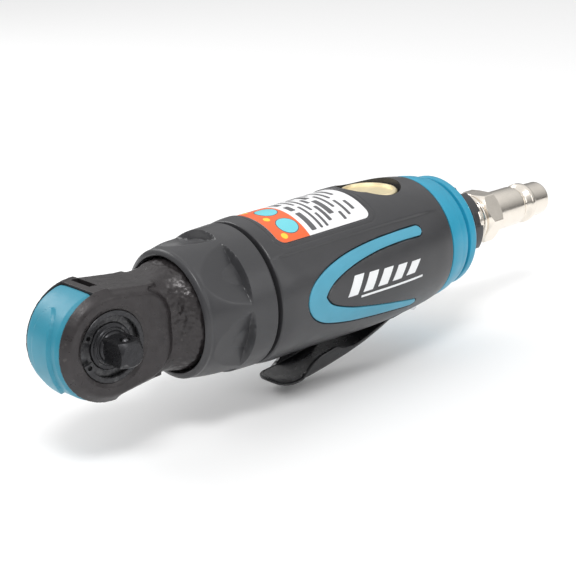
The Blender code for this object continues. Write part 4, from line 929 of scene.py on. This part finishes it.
def make_label(mats):
    """Plain printed label: an orange field with discs, and rows of short grey bars."""
    shape = Shape()
    t0, t1 = LABEL_MIDDLE - LABEL_REACH, LABEL_MIDDLE + LABEL_REACH
    seam = LABEL_X0 + 10.6
    shape.skin(patch_rings(rounded_rows(LABEL_X0, LABEL_X1, t0, t1, 2.4), 0.30, 0.10, 40), finish=0)
    field = rounded_rows(LABEL_X0, seam, t0, t1, 2.4, which=(1, 0))
    shape.skin(patch_rings(field, 0.28, 0.02), finish=1)
    for angle in (116.0, 91.0, 65.0):
        shape.skin(patch_rings(disc_rows(LABEL_X0 + 6.6, angle, 3.3), 0.265, 0.015), finish=4)
        shape.skin(patch_rings(disc_rows(LABEL_X0 + 6.6, angle, 3.05), 0.25, 0.015), finish=2)
    for angle in (125.5, 103.5, 78.0, 54.0):
        shape.skin(patch_rings(disc_rows(LABEL_X0 + 3.0, angle, 1.0), 0.25, 0.03), finish=3)
    rows = ((13.2, 0.9, ((128, 106), (102, 92), (86, 60))), (16.0, 0.45, ((128, 98), (94, 70), (66, 52))),
            (18.0, 0.45, ((128, 112), (108, 78), (74, 54))), (20.2, 0.6, ((124, 104), (98, 88), (80, 58))),
            (22.4, 0.9, ((118, 96), (90, 70))), (25.0, 0.5, ((127, 118), (112, 88), (82, 62))),
            (27.4, 0.5, ((124, 104), (100, 72))), (30.0, 0.55, ((120, 108), (96, 76), (70, 60))))
    for x, half, bars in rows:
        for high, low in bars:
            line = rounded_rows(LABEL_X0 + x - half, LABEL_X0 + x + half, low, high, 0.3, 16)
            shape.skin(patch_rings(line, 0.28, 0.02, 4), finish=4)
    finishes = ["label_film", "print_orange", "print_cyan", "print_yellow", "print_grey"]
    label = shape.make("rating_label", [mats[f] for f in finishes])
    return place(label, "root", "label_film", "rating_label")


def make_side_mark(mats, side, name):
    """Plain mark inside the inlay: slanted bars that shorten, over a thin line."""
    shape = Shape()
    for index in range(5):
        x = 68.5 + 5.6 * index
        reach = 6.4 - 0.6 * index
        rows = []
        for k in range(13):
            t = k / 12
            angle = 187.0 - index * 0.6 - (reach * 2.4) * t
            lean = 2.6 * t
            rows.append((angle, x + lean, x + lean + 3.5))
        shape.skin(patch_rings(mirror_rows(rows, side), -0.12, 0.3, 6))
    rows = [(190.5 - 1.6 * k / 4, 73.5, 98.0) for k in range(5)]
    shape.skin(patch_rings(mirror_rows(rows, side), -0.12, 0.3, 40))
    mark = shape.make(name, [mats["mark_white"]])
    return place(mark, "root", "label_film")


def make_side_marks(mats):
    """One mark on each side."""
    make_side_mark(mats, -1, "side_mark_drive_side")
    make_side_mark(mats, 1, "side_mark_knob_side")


def mirror_rows(rows, side):
    """Rows for the far side of the grip when side is positive."""
    return [(angle if side < 0 else 180.0 - angle, low, high) for angle, low, high in rows]


# ---- throttle -------------------------------------------------------------------------
def make_valve_cap(mats):
    """Brass cap: chamfered rim, sunken face with a shallow dish."""
    top = CAP_TOP
    profile = [(12.2, 0), (12.2, 7.0), (13.6, 7.0), (13.6, CAP_R), (top - 0.5, CAP_R, 0.1),
               (top, CAP_R - 0.5, 0.15), (top, 7.15, 0.1), (top - 0.62, 6.95, 0.1),
               (top - 0.62, 5.2, 0.2), (top - 0.75, 0)]
    cap = turned("valve_cap", profile, mats["brass"], "Z", (VALVE_X, 0.0), 128, 0.2, True, 25.0)
    return place(cap, "root", "brass", "valve_cap")


LEVER_PATH = [(56.0, -28.5), (56.8, -28.95), (58.5, -29.15), (61.0, -29.1), (64.7, -28.8),
              (71.6, -27.9), (79.3, -26.55), (86.3, -25.0), (93.9, -22.6), (101.7, -19.9), (107.6, -19.0)]
LEVER_FLAP = [(56.0, 0.6), (60.0, 0.75), (63.6, 0.9), (65.0, 1.9), (67.0, 3.3), (70.8, 4.45), (74.6, 4.5),
              (77.3, 4.35), (79.4, 3.1), (82.5, 2.1), (86.5, 1.6), (92.0, 1.5), (107.6, 1.5)]
LEVER_HALF_W = 6.88
LEVER_T = 1.25


def make_lever(mats):
    """Pressed sheet lever: dished tip, two side flaps, and ears that swing on the pin."""
    stations = []
    tip_x, end_x = LEVER_PATH[0][0], LEVER_PATH[-1][0]
    for k in range(121):
        t = k / 120
        stations.append(tip_x + (end_x - tip_x) * (0.35 * t * t + 0.65 * t ** 1.15 if t < 1 else 1.0))
    rings = []
    for x in stations:
        z = float(line_at(LEVER_PATH, x))
        rise = float(line_at(LEVER_FLAP, x))
        reach = min((x - tip_x + 0.05) / 5.6, 1.0)
        half = LEVER_HALF_W * max(1.0 - (1.0 - reach) ** 2.3, 0.0) ** 0.5
        rings.append([(x, y, z + up) for y, up in channel(half, rise)])
    lever = Shape().skin(rings).make("throttle_lever", [mats["lever_black"]], 50.0)
    ears = []
    for side in (-1, 1):
        inner, outer = sorted((side * (LEVER_HALF_W - 1.3), side * (LEVER_HALF_W - 0.01)))
        outline = arc(2.6, 180.0, 0.0, 24, (PIN_X, PIN_Z))
        outline += [(108.2, -18.6), (107.4, -19.0), (100.0, -20.0), (99.0, -20.0)]
        ears.append(prism("ear", outline, "Y", inner, outer))
    carve(lever, ears, "UNION", 40.0)
    hole = drill([(-20, 0), (-20, 1.31), (20, 1.31), (20, 0)], "Y", (PIN_X, PIN_Z), 32)
    carve(lever, [hole], sharp=40.0)
    return place(lever, "trigger", "lever_black", "throttle_lever")


def channel(half, rise):
    """Cross-section (y, z) of the pressed sheet: floor, bend and flaps of one thickness."""
    bend = min(1.6, half * 0.8, max(rise, 0.7))
    top = max(rise, bend + 0.02)
    outer = arc(bend, 270.0, 360.0, 9, (half - bend, bend))
    outer += [(half, top * 0.5 + bend * 0.5), (half, top - 0.25), (half - 0.2, top)]
    wall = min(LEVER_T, half * 0.7)
    small = max(bend - wall, 0.15)
    inner = [(half - wall + 0.2, top), (half - wall, max(top - 0.25, wall + small + 0.02)),
             (half - wall, max(top * 0.5 + bend * 0.5, wall + small + 0.01))]
    inner += arc(small, 360.0, 270.0, 5, (half - wall - small, wall + small))
    right = outer + inner
    left = [(-y, z) for y, z in reversed(right)]
    return right + [(0.0, wall)] + left + [(0.0, 0.0)]


# ---- rear end -------------------------------------------------------------------------
def make_collar(mats):
    """Exhaust collar: conical band with a faint parting line, groove and rear rim."""
    profile = [(COLLAR_X0, 14.4), (COLLAR_X0, 18.95, 0.35), (115.6, 18.72, 0), (118.2, 18.26, 0.02),
               (118.35, 17.85, 0.02), (119.6, 17.75, 0), (121.5, 17.35, 0.3), (121.9, 15.9, 0.15),
               (122.9, 15.8, 0.15), (123.2, 17.05, 0.3), (125.6, 16.95, 0.3), (COLLAR_X1, 16.2, 0.3),
               (COLLAR_X1, 11.7), (122.0, 11.7), (122.0, 14.4)]
    collar = turned("exhaust_collar", profile, mats["collar_blue"], count=160)
    return place(collar, "root", "cover_blue", "exhaust_collar")


def make_bushing(mats):
    """Black castellated bushing that holds the nipple."""
    profile = [(107.7, 6.2), (107.7, 9.4), (113.4, 9.4), (113.4, 9.9), (122.2, 9.9), (122.2, 11.3),
               (126.9, 11.3), (127.2, 12.5), (129.0, 12.5, 0.3), (129.6, 11.5), (131.3, 11.5, 0.1),
               (131.45, 11.15, 0.1), (132.0, 11.15, 0.1), (132.15, 11.5, 0.1), (135.6, 11.5, 0.4),
               (INLET_X1, 10.7), (INLET_X1, 5.9), (124.0, 5.9), (124.0, 4.6), (112.0, 4.6), (112.0, 6.2)]
    bush = turned("inlet_bushing", profile, mats["grip_black"], count=144, radius=0.2)
    notches = []
    for index in range(6):
        outline = soften([(-2.1, 9.7), (2.1, 9.7), (2.4, 14.0), (-2.4, 14.0)], 0.4, 4)
        turn = Matrix.Rotation(math.radians(60.0 * index + 12.0), 2)
        spun = [tuple(turn @ Vector(p)) for p in outline]
        notches.append(prism("notch", spun, "X", 132.6, 140.0))
    carve(bush, notches)
    return place(bush, "root", "grip_black", "inlet_bushing")


def make_nipple(mats):
    """Quick-coupling nipple: thread relief, chamfered hexagon, shank, lock groove and tip."""
    profile = [(125.0, 3.6), (125.0, 5.3), (126.0, 5.6), (138.9, 5.6), (138.9, 8.2, 0.3),
               (139.7, 8.2, 0.3), (140.1, 7.3, 0.1), (140.7, 7.3, 0.1), (141.1, 8.0, 0.3),
               (141.9, 7.9, 0.3), (142.6, 6.9, 0.3), (144.5, 6.3, 0), (162.7, 6.3, 0.5),
               (163.9, 5.05, 0.5), (165.3, 5.0, 0.5), (166.5, 6.4, 0.35), (168.2, 6.45, 0.5),
               (168.9, 5.55, 0.3), (NIPPLE_X1 - 0.9, 5.45, 0.5), (NIPPLE_X1, 4.6, 0.3),
               (NIPPLE_X1, 4.1, 0.2), (NIPPLE_X1 - 0.5, 3.6, 0.2)]
    shank = turned("air_nipple", profile, mats["nickel"], count=128, radius=0.2)
    across = 15.0
    corner = across / 2 / cosd(30.0)
    hexagon = [(corner * cosd(60.0 * i), corner * sind(60.0 * i)) for i in range(6)]
    hexes = prism("hex", soften(hexagon, 0.2), "X", 143.4, 149.5, mats["nickel"])
    cone = drill([(143.4, 0), (143.4, corner - 1.35), (145.0, corner + 0.35), (148.3, corner + 0.35),
                  (149.5, corner - 0.9), (149.5, 0)], count=128)
    carve(hexes, [cone], "INTERSECT")
    core = drill([(100, 0), (100, 5.0), (200, 5.0), (200, 0)])
    carve(hexes, [core])
    carve(shank, [hexes], "UNION")
    place(shank, "root", "nickel", "air_nipple")
    profile = [(136.7, 6.1), (136.7, 8.7, 0.3), (137.5, 8.8, 0.3), (137.9, 8.3, 0.2), (138.6, 8.5, 0.3),
               (138.6, 6.1)]
    washer = turned("nipple_washer", profile, mats["nickel"], count=128)
    place(washer, "root", "nickel", "nipple_washer")


def make_seal_ring(mats):
    """Dark joint ring between the nut and the grip."""
    low, high = span("body_seal_ring")
    ring = turned("body_seal_ring", [(low.x, 16.9), (low.x, 17.8), (high.x, 17.8), (high.x, 16.9)],
                  mats["seal_rubber"], count=128)
    return place(ring, "root", "seal_rubber", "body_seal_ring")


# ---- set --------------------------------------------------------------------------------
CAMERA_AZIMUTH = -41.721
CAMERA_ELEVATION = 18.320
CAMERA_ROLL = -2.358
CAMERA_PLACE = (-0.168016, -0.261468, 0.112598)
CAMERA_LENS = 82.997


def make_camera():
    """Camera at the angle from which the tool is usually shown."""
    az, el, roll = (math.radians(v) for v in (CAMERA_AZIMUTH, CAMERA_ELEVATION, CAMERA_ROLL))
    back = Vector((math.sin(az) * math.cos(el), -math.cos(az) * math.cos(el), math.sin(el)))
    right = Vector((math.cos(az), math.sin(az), 0.0))
    up = back.cross(right)
    across = right * math.cos(roll) + up * math.sin(roll)
    tall = up * math.cos(roll) - right * math.sin(roll)
    data = bpy.data.cameras.new("camera")
    data.lens = CAMERA_LENS
    data.sensor_width = 36.0
    data.clip_start = 0.01
    camera = bpy.data.objects.new("camera", data)
    turn = Matrix((across, tall, back)).transposed().to_4x4()
    camera.matrix_world = Matrix.Translation(CAMERA_PLACE) @ turn
    bpy.context.scene.collection.objects.link(camera)
    bpy.context.scene.camera = camera


def make_light(name, place_at, aim, size, power, colour=(1.0, 1.0, 1.0)):
    """Rectangular area light aimed at a point."""
    data = bpy.data.lights.new(name, "AREA")
    data.shape = "RECTANGLE"
    data.size, data.size_y = size
    data.energy = power
    data.color = colour
    light = bpy.data.objects.new(name, data)
    light.location = place_at
    light.rotation_euler = (Vector(aim) - Vector(place_at)).to_track_quat("-Z", "Y").to_euler()
    bpy.context.scene.collection.objects.link(light)


def make_studio():
    """Pale floor, a surround that darkens towards the horizon and three soft boxes."""
    floor_z = cad_box[0][2] - 0.004
    size = 3.0
    mesh = bpy.data.meshes.new("floor")
    corners = [(x, y, floor_z) for x, y in ((-size, -size), (size, -size), (size, size), (-size, size))]
    mesh.from_pydata(corners, [], [(0, 1, 2, 3)])
    floor = bpy.data.objects.new("floor", mesh)
    paper = bpy.data.materials.new("paper")
    paper.use_nodes = True
    shader = paper.node_tree.nodes["Principled BSDF"]
    shader.inputs["Base Color"].default_value = (0.95, 0.95, 0.95, 1.0)
    shader.inputs["Roughness"].default_value = 0.9
    mesh.materials.append(paper)
    bpy.context.scene.collection.objects.link(floor)
    world = bpy.data.worlds.new("surround")
    world.use_nodes = True
    tree = world.node_tree
    where = tree.nodes.new("ShaderNodeTexCoord")
    split = tree.nodes.new("ShaderNodeSeparateXYZ")
    tree.links.new(where.outputs["Generated"], split.inputs["Vector"])
    strength = ramped(tree, split.outputs["Z"], 0.16, 1.0, 0.05, 0.75)
    tree.links.new(strength, tree.nodes["Background"].inputs["Strength"])
    tree.nodes["Background"].inputs["Color"].default_value = (1.0, 1.0, 1.0, 1.0)
    bpy.context.scene.world = world
    bpy.context.scene.view_settings.view_transform = "Standard"
    make_light("key", (-0.25, -0.35, 0.75), (0.06, 0.0, 0.0), (0.3, 0.2), 3.0)
    make_light("side", (0.45, -0.75, 0.35), (0.08, 0.0, 0.0), (0.4, 0.5), 0.9)
    make_light("rim", (-0.2, 0.7, 0.5), (0.06, 0.0, 0.0), (0.6, 0.3), 2.4)


# ---- all pieces -------------------------------------------------------------------------
def main():
    mats = make_materials()
    make_camera()
    make_studio()
    for make in (make_head, make_nose_cover, make_circlip, make_spring_washer, make_anvil, make_reverse_knob,
                 make_clamp_nut, make_seal_ring, make_grip, make_inlays, make_label, make_side_marks,
                 make_valve_cap, make_lever, make_collar, make_bushing, make_nipple):
        make(mats)
    slots = {part["node"]: part["material_slot"] for part in frame["record"]["subparts"]}
    for name, node in frame["nodes"].items():
        node.data.materials.clear()
        node.data.materials.append(mats[slots[name]])


main()
